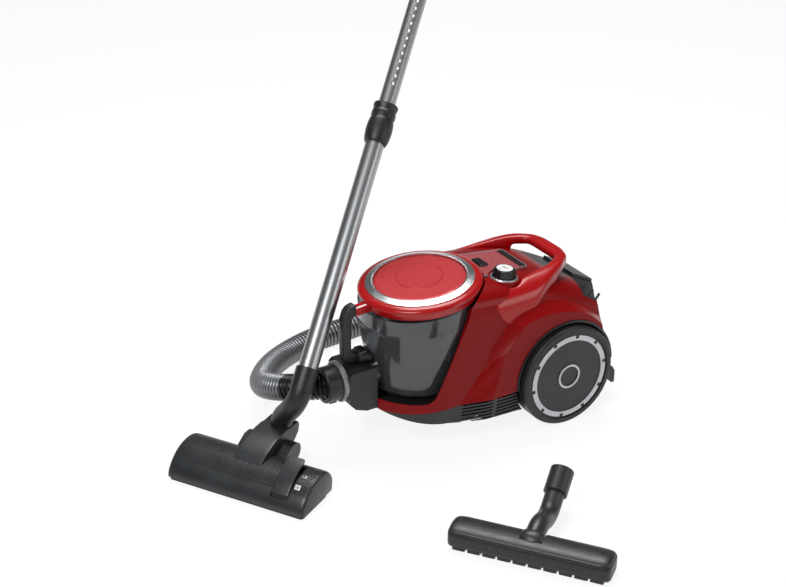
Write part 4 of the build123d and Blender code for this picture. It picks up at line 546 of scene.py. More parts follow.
CAD_LOOKS: dict[Look, tuple[str, ...]] = {
    Look.RED_HOUSING: ("upper_housing",),
    Look.RED_LID: ("carry_handle", "bin_lid"),
    Look.RED_DISC: ("lid_disc",),
    Look.RED_PANEL: ("control_panel",),
    Look.BLACK_SATIN: (
        "base_housing", "rear_panel", "wheel_arch_trims", "inlet_block", "plug_bay", "cable_reel",
        "mains_plug", "rear_cover", "caster_fork", "caster_wheel", "bin_handle", "hose_cuff", "brush_strip",
        "grip_handle", "nozzle_sole_plate", "nozzle_elbow", "release_collar",
    ),
    Look.BLACK_GLOSS: ("rewind_button", "power_knob", "knob_cap", "bin_release_button"),
    Look.SHROUD: ("cyclone_shroud",),
    Look.WHEEL_DISC: ("left_wheel_disc", "right_wheel_disc"),
    Look.ANTHRACITE: ("nozzle_pedal", "nozzle_yoke", "hard_floor_body", "hard_floor_neck", "hard_floor_sleeve"),
    Look.NOZZLE: ("nozzle_body",),
    Look.RUBBER: ("motor_mounts", "bin_gasket", "nozzle_rollers"),
    Look.TYRE: ("left_tyre", "right_tyre"),
    Look.LIGHT_GREY: ("air_slider",),
    Look.SILVER: ("panel_trim", "left_wheel_trims", "right_wheel_trims"),
    Look.RING_GREY: ("inlet_ring",),
    Look.CHROME: ("lid_trim_ring",),
    Look.TUBE: ("lower_tube", "upper_tube"),
    Look.CLEAR: ("dust_bin",),
    Look.WINDOW: ("status_window",),
    Look.FLEECE: ("exhaust_filter", "motor_filter", "filter_cartridge"),
    Look.MOTOR: ("motor_housing", "fan_rotor"),
    Look.SCREW: ("axle_stubs", "housing_screws"),
}


# ---------------------------------------------------------------- modelling with Blender's own tools
class Bench:
    """Blender's own modelling tools, each used on one object with all else deselected."""

    @staticmethod
    def clear() -> None:
        """Leave edit mode and deselect everything."""
        if bpy.context.object is not None and bpy.context.object.mode != "OBJECT":
            bpy.ops.object.mode_set(mode="OBJECT")
        bpy.ops.object.select_all(action="DESELECT")

    @staticmethod
    def take(piece: Piece) -> Piece:
        """Select one object alone and make it active.

        Args:
            piece: the object.

        Returns:
            The same object.
        """
        Bench.clear()
        piece.select_set(True)
        bpy.context.view_layer.objects.active = piece
        return piece

    @staticmethod
    def new(name: str) -> Piece:
        """Give the active object and its mesh this name.

        Args:
            name: the new name.

        Returns:
            The active object.
        """
        piece = bpy.context.object
        piece.name = name
        piece.data.name = name
        return piece

    @staticmethod
    def modify(piece: Piece, kind: str, **settings: Any) -> None:
        """Add a modifier to a piece and apply it.

        Args:
            piece: the mesh object.
            kind: the modifier's type name.
            settings: the modifier's own properties.
        """
        Bench.take(piece)
        made = piece.modifiers.new(kind.title(), kind)
        for name, value in settings.items():
            setattr(made, name, value)
        bpy.ops.object.modifier_apply(modifier=made.name)

    @staticmethod
    def settle(piece: Piece, place: Matrix | None = None) -> Piece:
        """Put an object's place into its mesh.

        Args:
            piece: the mesh object.
            place: a further move and turn, laid on the object's own.

        Returns:
            The same object, with its origin at the frame's.
        """
        Bench.take(piece)
        if place is not None:
            piece.matrix_world = place @ piece.matrix_world
        bpy.ops.object.transform_apply(location=True, rotation=True, scale=True)
        return piece

    @staticmethod
    def join(pieces: Sequence[Piece], name: str) -> Piece:
        """Join several meshes into one piece.

        Args:
            pieces: the mesh objects.
            name: the name of the piece that they make.

        Returns:
            The piece.
        """
        Bench.clear()
        for piece in pieces:
            piece.select_set(True)
        bpy.context.view_layer.objects.active = pieces[0]
        if len(pieces) > 1:
            bpy.ops.object.join()
        return Bench.new(name)

    @staticmethod
    def edit_all() -> None:
        """Enter edit mode with the whole mesh selected."""
        bpy.ops.object.mode_set(mode="EDIT")
        bpy.ops.mesh.select_all(action="SELECT")

    @staticmethod
    def repeat(piece: Piece, count: int, shift: Sequence[float], **settings: Any) -> None:
        """Copy a piece along a line, each copy moved on by the same shift.

        Args:
            piece: the mesh object.
            count: how many there are in all.
            shift: the step from one to the next.
            settings: further settings of the Array modifier.
        """
        Bench.modify(
            piece, "ARRAY", count=count, use_relative_offset=False, use_constant_offset=True,
            constant_offset_displace=shift, **settings,
        )

    @staticmethod
    def link(name: str, data: bpy.types.ID) -> Piece:
        """Put data into the scene as an object.

        Args:
            name: the object's name.
            data: a camera, lamp, curve or mesh.

        Returns:
            The object.
        """
        made = bpy.data.objects.new(name, data)
        bpy.context.scene.collection.objects.link(made)
        return made

    @staticmethod
    def tidy_normals(piece: Piece) -> None:
        """Merge doubles and point the faces outwards.

        Args:
            piece: the mesh object.
        """
        Bench.take(piece)
        Bench.edit_all()
        bpy.ops.mesh.remove_doubles(threshold=1e-6)
        bpy.ops.mesh.normals_make_consistent(inside=False)
        bpy.ops.object.mode_set(mode="OBJECT")

    @staticmethod
    def finish(
        piece: Piece, look: Look, body: str, slot: str, smooth: float = 35.0, place: Matrix | None = None
    ) -> Piece:
        """Shade a piece, give it its finish, and let it ride on a body.

        Args:
            piece: the finished mesh, with its place in its mesh.
            look: the finish.
            body: the CAD body that it moves with.
            slot: the record's material slot; not used.
            smooth: the angle in degrees under which edges are smooth.
            place: its place, where that isn't in its mesh yet.

        Returns:
            The piece.
        """
        if place is not None:
            Bench.settle(piece, place)
        Bench.take(piece)
        bpy.ops.object.shade_smooth_by_angle(angle=math.radians(smooth))
        piece.data.materials.clear()
        piece.data.materials.append(look.material())
        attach(piece, body)
        log.info("%s: %d faces on %s", piece.name, len(piece.data.polygons), body)
        return piece

    @staticmethod
    def bar(name: str, centre: Point, size: Point, bevel: float) -> Piece:
        """Add a bar with rounded edges. Its sizes are millimetres.

        Args:
            name: the piece's name.
            centre: its middle.
            size: its three sides.
            bevel: the radius of its edges.

        Returns:
            The bar.
        """
        Bench.clear()
        bpy.ops.mesh.primitive_cube_add(size=1.0, location=mm(*centre))
        made = Bench.new(name)
        made.scale = mm(*size)
        Bench.settle(made)
        Bench.modify(made, "BEVEL", width=bevel * MM, segments=2, limit_method="ANGLE")
        return made

    @staticmethod
    def turned(name: str, rows: Sequence[Pair], vertices: int = 48, closed: bool = True) -> Piece:
        """Turn a piece about Z: a circle extruded and scaled from row to row.

        Args:
            name: the piece's name.
            rows: height and radius of each row, from the first to the last.
            vertices: how many vertices are in each row.
            closed: whether both ends are filled.

        Returns:
            The turned piece.
        """
        Bench.clear()
        height, radius = rows[0]
        bpy.ops.mesh.primitive_circle_add(
            vertices=vertices, radius=radius, fill_type="NGON" if closed else "NOTHING", location=(0, 0, height)
        )
        made = Bench.new(name)
        Bench.settle(made)
        Bench.edit_all()
        bpy.ops.mesh.select_mode(type="EDGE")
        bpy.ops.mesh.select_all(action="SELECT")
        for (z0, r0), (z1, r1) in zip(rows, rows[1:]):
            bpy.ops.mesh.extrude_region_move(TRANSFORM_OT_translate={"value": (0, 0, z1 - z0)})
            if abs(r1 - r0) > 1e-9:
                bpy.ops.transform.resize(value=(r1 / r0, r1 / r0, 1.0), center_override=(0, 0, z1))
        bpy.ops.object.mode_set(mode="OBJECT")
        if closed:
            Bench.tidy_normals(made)
        return made

    @staticmethod
    def drawn(name: str, outline: Sequence[Pair], rows: Sequence[Point], centre: Pair) -> Piece:
        """Draw an outline out sideways: a flat face extruded and scaled from row to row, in millimetres.

        Args:
            name: the piece's name.
            outline: back and height of its points, in order.
            rows: sideways place, depth share and height share of each row.
            centre: back and height of the point that the rows shrink towards.

        Returns:
            The closed piece, drawn along Y.
        """
        Bench.clear()
        bpy.ops.mesh.primitive_circle_add(vertices=len(outline), radius=1.0, fill_type="NGON")
        made = Bench.new(name)
        x, z = mm(*centre)
        rows = [(y * MM, depth, tall) for y, depth, tall in rows]
        start, depth, tall = rows[0]
        for vertex, (back, height) in zip(made.data.vertices, in_mm(outline)):
            vertex.co = (x + (back - x) * depth, start, z + (height - z) * tall)
        Bench.edit_all()
        bpy.ops.mesh.select_mode(type="FACE")
        bpy.ops.mesh.select_all(action="SELECT")
        for (y0, d0, h0), (y1, d1, h1) in zip(rows, rows[1:]):
            bpy.ops.mesh.extrude_region_move(TRANSFORM_OT_translate={"value": (0, y1 - y0, 0)})
            bpy.ops.transform.resize(value=(d1 / d0, 1.0, h1 / h0), center_override=(x, y1, z))
        bpy.ops.object.mode_set(mode="OBJECT")
        Bench.tidy_normals(made)
        return made

    @staticmethod
    def cut(piece: Piece, back: Pair, side: Pair, tall: Pair) -> None:
        """Cut a block out of a piece that is drawn in its nozzle's own frame.

        Args:
            piece: the piece.
            back: where the block starts and ends backwards, in millimetres.
            side: where it starts and ends sideways.
            tall: where it starts and ends upwards.
        """
        limits = in_mm((back, (-side[1], -side[0]), tall))
        Bench.clear()
        bpy.ops.mesh.primitive_cube_add(size=1.0, location=[sum(pair) / 2 for pair in limits])
        tool = Bench.new("cutter")
        tool.scale = [pair[1] - pair[0] for pair in limits]
        Bench.settle(tool)
        Bench.modify(piece, "BOOLEAN", operation="DIFFERENCE", solver="EXACT", object=tool)
        bpy.data.objects.remove(tool)


def curve(points: Sequence[Pair], steps: int) -> list[Pair]:
    """Draw an even curve through some points.

    Args:
        points: the points, in order.
        steps: how many steps there are between two of them.

    Returns:
        The curve's points, with both ends.
    """
    ends = [points[0], *points, points[-1]]
    made = []
    for p, a, b, q in zip(ends, ends[1:], ends[2:], ends[3:]):
        for t in (step / steps for step in range(steps)):
            made.append(tuple(
                0.5 * (2 * a[i] + (b[i] - p[i]) * t + (2 * p[i] - 5 * a[i] + 4 * b[i] - q[i]) * t**2
                       + (3 * a[i] - p[i] - 3 * b[i] + q[i]) * t**3)
                for i in (0, 1)
            ))
    return made + [points[-1]]


def mirrored(
    half: float, ends: Sequence[Point], between: Sequence[float] = (), middle: float = 0.0
) -> list[Point]:
    """List the rows of a piece whose two ends are rounded alike.

    Args:
        half: half its width.
        ends: distance from the end, depth share and height share of each row there.
        between: places of further whole rows.
        middle: the piece's own middle.

    Returns:
        Sideways place, depth share and height share of each row.
    """
    rows = [(middle + gap - half, depth, tall) for gap, depth, tall in ends]
    rows += [(lateral, 1.0, 1.0) for lateral in between]
    return rows + [(middle + half - gap, depth, tall) for gap, depth, tall in reversed(ends)]


def placed(place: Point, turn: float = 0.0, axis: str = "Z") -> Matrix:
    """Build the matrix that turns a piece and then moves it.

    Args:
        place: where it goes, in millimetres.
        turn: the turn in degrees.
        axis: the axis of the turn.

    Returns:
        The matrix.
    """
    return Matrix.Translation(mm(*place)) @ Matrix.Rotation(math.radians(turn), 4, axis)


@dataclass
class Station:
    """A nozzle's own frame: back from its front edge, sideways and up."""

    x: float
    y: float
    turn: float

    def matrix(self) -> Matrix:
        """Return the turn and place of the frame: x runs back and y against the lateral side."""
        return Matrix.Translation((self.x, self.y, 0.0)) @ Matrix.Rotation(math.radians(self.turn), 4, "Z")

    def at(self, back: float, lateral: float, height: float) -> Vector:
        """Return the world point at these three distances."""
        return self.matrix() @ Vector((back, -lateral, height))


FLOOR_NOZZLE = Station(-0.6262, -0.0578, 31.1)
HARD_FLOOR = Station(-0.318, -0.465, 36.9)


# ---------------------------------------------------------------- stage
@dataclass
class Studio:
    """Pale floor, soft lights and the camera."""

    azimuth: float = -30.99
    elevation: float = 26.73
    eye: Point = (-1.5480, -2.1097, 1.5113)
    focal_px: float = 1600.0
    width_px: float = 786.0
    sensor_mm: float = 36.0
    floor_size: float = 120.0

    def camera(self) -> None:
        """Place the camera."""
        data = bpy.data.cameras.new("camera")
        data.sensor_width = self.sensor_mm
        data.lens = self.focal_px / self.width_px * self.sensor_mm
        data.clip_end = 200.0
        camera = Bench.link("camera", data)
        a, e = math.radians(self.azimuth), math.radians(self.elevation)
        back = Vector((math.sin(a) * math.cos(e), -math.cos(a) * math.cos(e), math.sin(e)))
        camera.location = self.eye
        camera.rotation_euler = (-back).to_track_quat("-Z", "Y").to_euler()
        bpy.context.scene.camera = camera

    def seen(self, tree: Tree) -> Node:
        """Tell camera, glossy and transmission rays from the rest.

        Args:
            tree: the node tree that asks.

        Returns:
            A node that gives 1 or 0.
        """
        path = add_node(tree, "ShaderNodeLightPath").outputs
        direct = {0: path["Is Camera Ray"], 1: path["Is Glossy Ray"]}
        both = add_node(tree, "ShaderNodeMath", links=direct, operation="MAXIMUM")
        every = {0: both, 1: path["Is Transmission Ray"]}
        return add_node(tree, "ShaderNodeMath", links=every, operation="MAXIMUM")

    def floor(self) -> None:
        """Lay the floor: matt white that keeps a soft shadow."""
        Bench.clear()
        bpy.ops.mesh.primitive_plane_add(size=self.floor_size, location=(0, 0, -0.0005))
        floor = Bench.new("floor")
        material = bpy.data.materials.new("white_paper_sweep")
        material.use_nodes = True
        tree = material.node_tree
        tree.nodes.clear()
        matt = add_node(tree, "ShaderNodeBsdfDiffuse", {"Color": linear("#e8e8e8")})
        glow = add_node(tree, "ShaderNodeEmission", {"Color": (1, 1, 1, 1), "Strength": 1.05})
        share = add_node(tree, "ShaderNodeMath", {1: 0.84}, {0: self.seen(tree)}, operation="MULTIPLY")
        mix = add_node(tree, "ShaderNodeMixShader", links={0: share, 1: matt, 2: glow})
        add_node(tree, "ShaderNodeOutputMaterial", links={"Surface": mix})
        floor.data.materials.append(material)

    def world(self) -> None:
        """Light the room evenly, paler at the horizon and dimmer overhead."""
        world = bpy.data.worlds.new("studio")
        bpy.context.scene.world = world
        world.use_nodes = True
        tree = world.node_tree
        tree.nodes.clear()
        way = add_node(tree, "ShaderNodeTexCoord").outputs["Generated"]
        up = add_node(tree, "ShaderNodeSeparateXYZ", links={"Vector": way})
        ramp = add_node(tree, "ShaderNodeValToRGB", links={"Fac": up.outputs["Z"]})
        set_ramp(ramp, ((0.0, "#e6e6e6"), (0.2, "#8c8c8c"), (0.45, "#5c5c5c"), (0.9, "#a8a8a8")))
        sky = add_node(tree, "ShaderNodeBackground", {"Strength": 0.7}, {"Color": ramp})
        add_node(tree, "ShaderNodeOutputWorld", links={"Surface": sky})

    def lamp(self, name: str, place: Point, aim: Point, size: Pair, power: float) -> None:
        """Hang one soft box.

        Args:
            name: the lamp's name.
            place: where it hangs.
            aim: the point it faces.
            size: its two sides.
            power: its power in watts.
        """
        data = bpy.data.lights.new(name, "AREA")
        data.shape = "RECTANGLE"
        data.size, data.size_y = size
        data.energy = power
        lamp = Bench.link(name, data)
        lamp.location = place
        lamp.rotation_euler = (Vector(aim) - Vector(place)).to_track_quat("-Z", "Y").to_euler()

    def build(self) -> None:
        """Set up the stage."""
        bpy.context.scene.view_settings.view_transform = "Standard"
        self.camera()
        self.floor()
        self.world()
        self.lamp("key_box", (-2.4, -1.2, 2.6), (-0.1, 0.0, 0.1), (1.3, 0.9), 60.0)
        self.lamp("top_box", (0.3, 0.8, 2.9), (-0.1, 0.0, 0.1), (1.8, 1.2), 70.0)
        self.lamp("fill_box", (1.6, -2.4, 1.3), (0.0, 0.0, 0.15), (1.2, 1.2), 14.0)


# ---------------------------------------------------------------- hose
@dataclass
class SuctionHose:
    """Corrugated hose from the inlet cuff round to its grip behind the canister."""

    route: tuple[Point, ...] = (
        (-0.407, -0.009, 0.132), (-0.446, 0.016, 0.1275), (-0.465, 0.052, 0.114), (-0.472, 0.098, 0.095),
        (-0.464, 0.150, 0.072), (-0.438, 0.204, 0.051), (-0.392, 0.262, 0.036), (-0.335, 0.305, 0.026),
        (-0.270, 0.328, 0.025), (-0.205, 0.333, 0.025), (-0.140, 0.342, 0.025), (-0.060, 0.386, 0.025),
        (0.050, 0.440, 0.025), (0.150, 0.440, 0.025), (0.235, 0.370, 0.025), (0.250, 0.275, 0.025),
        (0.190, 0.205, 0.025), (0.110, 0.190, 0.027), (0.060, 0.190, 0.027),
    )
    radius: float = 0.024
    groove_radius: float = 0.0214
    pitch: float = 0.008
    around: int = 28

    def centreline(self) -> Piece:
        """Lay the hose's line through its route points.

        Returns:
            The curve object.
        """
        data = bpy.data.curves.new("hose_line", "CURVE")
        data.dimensions = "3D"
        data.resolution_u = 16
        spline = data.splines.new("NURBS")
        spline.points.add(len(self.route) - 1)
        for point, place in zip(spline.points, self.route):
            point.co = (*place, 1.0)
        spline.order_u = 3
        spline.use_endpoint_u = True
        return Bench.link("hose_line", data)

    def points(self, line: Piece) -> list[Vector]:
        """Read the smooth line off its curve.

        Args:
            line: the curve object.

        Returns:
            The points along it, from the cuff on.
        """
        mesh = bpy.data.meshes.new_from_object(line.evaluated_get(bpy.context.evaluated_depsgraph_get()))
        found = [vertex.co.copy() for vertex in mesh.vertices]
        bpy.data.meshes.remove(mesh)
        return found

    def rows(self, pitch: float) -> tuple[Pair, ...]:
        """List one rib: a narrow groove, then a round crest.

        Args:
            pitch: the rib's length along the hose.

        Returns:
            Height and radius of each row.
        """
        deep, full = self.groove_radius, self.radius
        shares = (
            (0.0, 0.0), (0.13, 0.1), (0.22, 0.65), (0.36, 1.0), (0.64, 1.0), (0.78, 0.65), (0.87, 0.1), (1.0, 0.0)
        )
        return tuple((pitch * share, deep + (full - deep) * rise) for share, rise in shares)

    def build(self) -> None:
        """Model one rib, repeat it along the hose and bend it along the line."""
        line = self.centreline()
        bpy.context.view_layer.update()
        path = self.points(line)
        length = sum((b - a).length for a, b in zip(path, path[1:]))
        count = round(length / self.pitch)
        pitch = length / count
        hose = Bench.turned("corrugated_hose", self.rows(pitch), self.around, closed=False)
        Bench.repeat(hose, count, (0, 0, pitch), use_merge_vertices=True, merge_threshold=1e-5)
        mesh = hose.data
        along = mesh.attributes.new("along", "FLOAT", "POINT")
        crest = mesh.attributes.new("crest", "FLOAT", "POINT")
        depth = self.radius - self.groove_radius
        for vertex in mesh.vertices:
            reach = math.hypot(vertex.co.x, vertex.co.y)
            along.data[vertex.index].value = vertex.co.z
            crest.data[vertex.index].value = (reach - self.groove_radius) / depth
        Bench.modify(hose, "CURVE", object=line, deform_axis="POS_Z")
        Bench.take(hose)
        bpy.ops.object.mode_set(mode="EDIT")
        bpy.ops.mesh.select_mode(type="EDGE")
        bpy.ops.mesh.select_all(action="DESELECT")
        bpy.ops.mesh.select_non_manifold()
        bpy.ops.mesh.fill_holes(sides=0)
        bpy.ops.mesh.select_all(action="SELECT")
        bpy.ops.mesh.normals_make_consistent(inside=False)
        bpy.ops.object.mode_set(mode="OBJECT")
        bpy.data.objects.remove(line)
        Bench.finish(hose, Look.HOSE, "canister", "hose_grey", smooth=80.0)
        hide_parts("hose")


# ---------------------------------------------------------------- brushes and cord winding
@dataclass
class BristleField:
    """A tuft of nylon bristles, modelled once and copied."""

    name: str
    station: Station
    tufts: tuple[Pair, ...]
    size: Pair
    foot: float
    top: float
    step: float
    seed: int
    sides: int = 5
    tip_radius: float = 0.45 * MM
    root_radius: float = 0.7 * MM
    splay: float = 0.6 * MM

    def tuft(self) -> Piece:
        """Model one tuft about the frame's origin.

        Returns:
            The tuft.
        """
        Bench.clear()
        tall = self.top - self.foot
        corner = [self.root_radius - side / 2 for side in self.size]
        bpy.ops.mesh.primitive_cone_add(
            vertices=self.sides, radius1=self.tip_radius, radius2=self.root_radius, depth=tall,
            location=(*corner, self.foot + tall / 2),
        )
        made = Bench.settle(Bench.new(self.name))
        for axis in (0, 1):
            room = self.size[axis] - 2 * self.root_radius
            count = max(1, round(room / self.step)) + 1
            shift = [0.0, 0.0, 0.0]
            shift[axis] = room / max(1, count - 1)
            Bench.repeat(made, count, shift)
        return made

    def build(self, look: Look, body: str, node: str) -> None:
        """Copy the tuft to its places, splay the tips and stand them in for the CAD solid.

        Args:
            look: the bristles' finish.
            body: the CAD body that they move with.
            node: the CAD node that they replace.
        """
        first = self.tuft()
        copies = []
        for back, lateral in self.tufts:
            copy = first.copy()
            copy.data = first.data.copy()
            bpy.context.scene.collection.objects.link(copy)
            copy.matrix_world = Matrix.Translation((back, -lateral, 0.0))
            copies.append(Bench.settle(copy))
        bpy.data.objects.remove(first)
        whole = Bench.join(copies, self.name)
        draw = random.Random(self.seed)
        each = 2 * self.sides
        for index in range(0, len(whole.data.vertices), each):
            lean = (draw.uniform(-self.splay, self.splay), draw.uniform(-self.splay, self.splay))
            for vertex in whole.data.vertices[index : index + each]:
                if vertex.co.z < self.foot + 0.5 * MM:
                    vertex.co.x += lean[0]
                    vertex.co.y += lean[1]
        Bench.finish(whole, look, body, "bristle", place=self.station.matrix())
        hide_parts(node)


@dataclass
class CordWinding:
    """The mains lead wound on its reel, layer over layer."""

    axis_x: float = 0.074
    axis_z: float = 0.108
    cord_radius: float = 0.0035
    half_width: float = 0.026
    layers: tuple[float, ...] = (0.0215, 0.0285, 0.0355, 0.0425)

    def build(self) -> None:
        """Lay each layer's turns side by side, half a cord apart between layers."""
        rings = []
        pitch = 2 * self.cord_radius
        for number, radius in enumerate(self.layers):
            turns = int((2 * self.half_width - pitch * (number % 2)) / pitch)
            start = -(turns - 1) * pitch / 2
            Bench.clear()
            bpy.ops.mesh.primitive_torus_add(
                major_segments=40, minor_segments=8, major_radius=radius + self.cord_radius,
                minor_radius=self.cord_radius, location=(0, 0, start),
            )
            ring = Bench.settle(Bench.new("winding_layer"))
            Bench.repeat(ring, turns, (0, 0, pitch))
            rings.append(ring)
        whole = Bench.join(rings, "mains_lead_winding")
        place = Matrix.Translation((self.axis_x, 0.0, self.axis_z)) @ Matrix.Rotation(math.pi / 2, 4, "X")
        Bench.finish(whole, Look.RUBBER, "reel", "rubber", smooth=80.0, place=place)
        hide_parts("wound_cord")

# ---------------------------------------------------------------- floor nozzle's shell
@dataclass
class FloorNozzleShell:
    """Domed cover of the floor nozzle, its pedal plate and its marks. Sizes are millimetres."""

    station: Station
    half: float = 134.4
    pedal_lateral: float = 84.0
    pedal_half: float = 15.5
    pedal_room: float = 17.0
    hood_half: float = 27.2
    outline: tuple[Pair, ...] = (
        (-0.5, 6.4), (-0.7, 10.0), (2.5, 18.5), (12.0, 30.8), (28.6, 43.4), (50.0, 50.8), (74.0, 51.4),
        (91.8, 43.4), (101.5, 26.6), (98.8, 6.4),
    )
    ends: tuple[Point, ...] = (
        (0.0, 0.9, 0.88), (0.8, 0.945, 0.945), (2.4, 0.975, 0.975), (5.0, 0.992, 0.992), (9.0, 1.0, 1.0)
    )

    def cover(self) -> None:
        """Draw the domed cover and open it for the pedal, the yoke and the suction room."""
        rows = mirrored(self.half, self.ends, (-90, -60, -30, 0, 30, 60, 90))
        made = Bench.drawn("nozzle_cover", curve(self.outline, 4), rows, (55.0, 6.4))
        near, far = self.pedal_lateral - self.pedal_room, self.pedal_lateral + self.pedal_room
        Bench.cut(made, (7.0, 78.0), (near, far), (24.0, 80.0))
        Bench.cut(made, (47.0, 140.0), (-28.4, 28.4), (9.5, 80.0))
        Bench.cut(made, (9.0, 95.0), (-115.0, 115.0), (-5.0, 9.0))
        Bench.finish(made, Look.NOZZLE, "floor_nozzle", "anthracite", 40.0, self.station.matrix())

    def pedal(self) -> None:
        """Draw the rocker pedal: a bowed plate that lies along the cover and lifts at the back."""
        top = curve(((10.0, 32.0), (24.0, 46.5), (40.0, 57.0), (56.0, 65.0), (70.0, 70.0)), 4)
        under = curve(((71.0, 66.5), (56.0, 59.5), (40.0, 50.0), (24.0, 38.5), (13.0, 28.0)), 4)
        ends = ((0.0, 0.95, 0.95), (0.93, 0.985, 0.985), (2.48, 1.0, 1.0))
        rows = mirrored(self.pedal_half, ends, middle=-self.pedal_lateral)
        made = Bench.drawn("rocker_pedal", top + under, rows, (40.0, 52.0))
        Bench.finish(made, Look.ANTHRACITE, "pedal", "anthracite", 50.0, self.station.matrix())
        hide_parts("nozzle_pedal")

    def mark(self, name: str, place: Point, lean: float, size: Point, look: Look, slot: str) -> Matrix:
        """Set one plate into the cover.

        Args:
            name: the plate's name.
            place: back, sideways place and height of its middle.
            lean: how it leans to lie on the cover, in degrees.
            size: its three sides.
            look: its finish.
            slot: the record's material slot.

        Returns:
            The plate's place.
        """
        back, lateral, height = place
        there = self.station.matrix() @ placed((back, -lateral, height), lean, "Y")
        Bench.finish(Bench.bar(name, (0.0, 0.0, 0.0), size, 0.35), look, "floor_nozzle", slot, place=there)
        return there

    def signs(self) -> None:
        """Set a black plate of painted shade for the pedal's slot, and the two surface marks with their raised
        lines.
        """
        # Painted shade: the slot is a black plate on the cover, not an opening.
        self.mark("pedal_slot_shade", (74.0, 108.0, 50.4), 14.0, (6.0, 11.0, 1.2), Look.BLACK_GLOSS, "black_gloss")
        for name, back, height, lean, look, length, shifts in (
            ("carpet_mark", 50.0, 50.9, -4.0, Look.RING_GREY, 5.5, (-2.4, 0.0, 2.4)),
            ("hard_floor_mark", 27.0, 42.8, -38.0, Look.WHITE, 6.5, (-1.2, 1.2)),
        ):
            there = self.mark(name, (back, 109.5, height), lean, (8.5, 10.0, 0.5), look, "light_grey")
            lines = [Bench.bar("line", (shift, 0.0, 0.35), (1.1, length, 0.3), 0.1) for shift in shifts]
            sign = Bench.join(lines, f"{name}_lines")
            Bench.finish(sign, Look.BLACK_SATIN, "floor_nozzle", "black_satin", place=there)

    def hood(self) -> None:
        """Draw the yoke's hood: a bowed shell whose sides reach down to the cover."""
        top = curve(((46.0, 50.6), (60.0, 59.5), (76.0, 66.0), (95.0, 71.0), (114.0, 73.0), (138.0, 73.2)), 3)
        under = ((138.0, 60.0), (118.0, 42.0), (100.0, 36.0), (70.0, 38.0), (55.0, 41.0), (49.2, 46.4))
        rows = mirrored(self.hood_half, ((0.0, 0.97, 0.96), (1.4, 0.992, 0.99), (4.0, 1.0, 1.0)))
        made = Bench.drawn("yoke_hood", [*top, *under], rows, (92.0, 58.0))
        Bench.finish(made, Look.ANTHRACITE, "yoke", "anthracite", 50.0, self.station.matrix())

    def build(self) -> None:
        """Build the cover, the pedal, the marks and the yoke's hood."""
        self.cover()
        self.pedal()
        self.signs()
        self.hood()


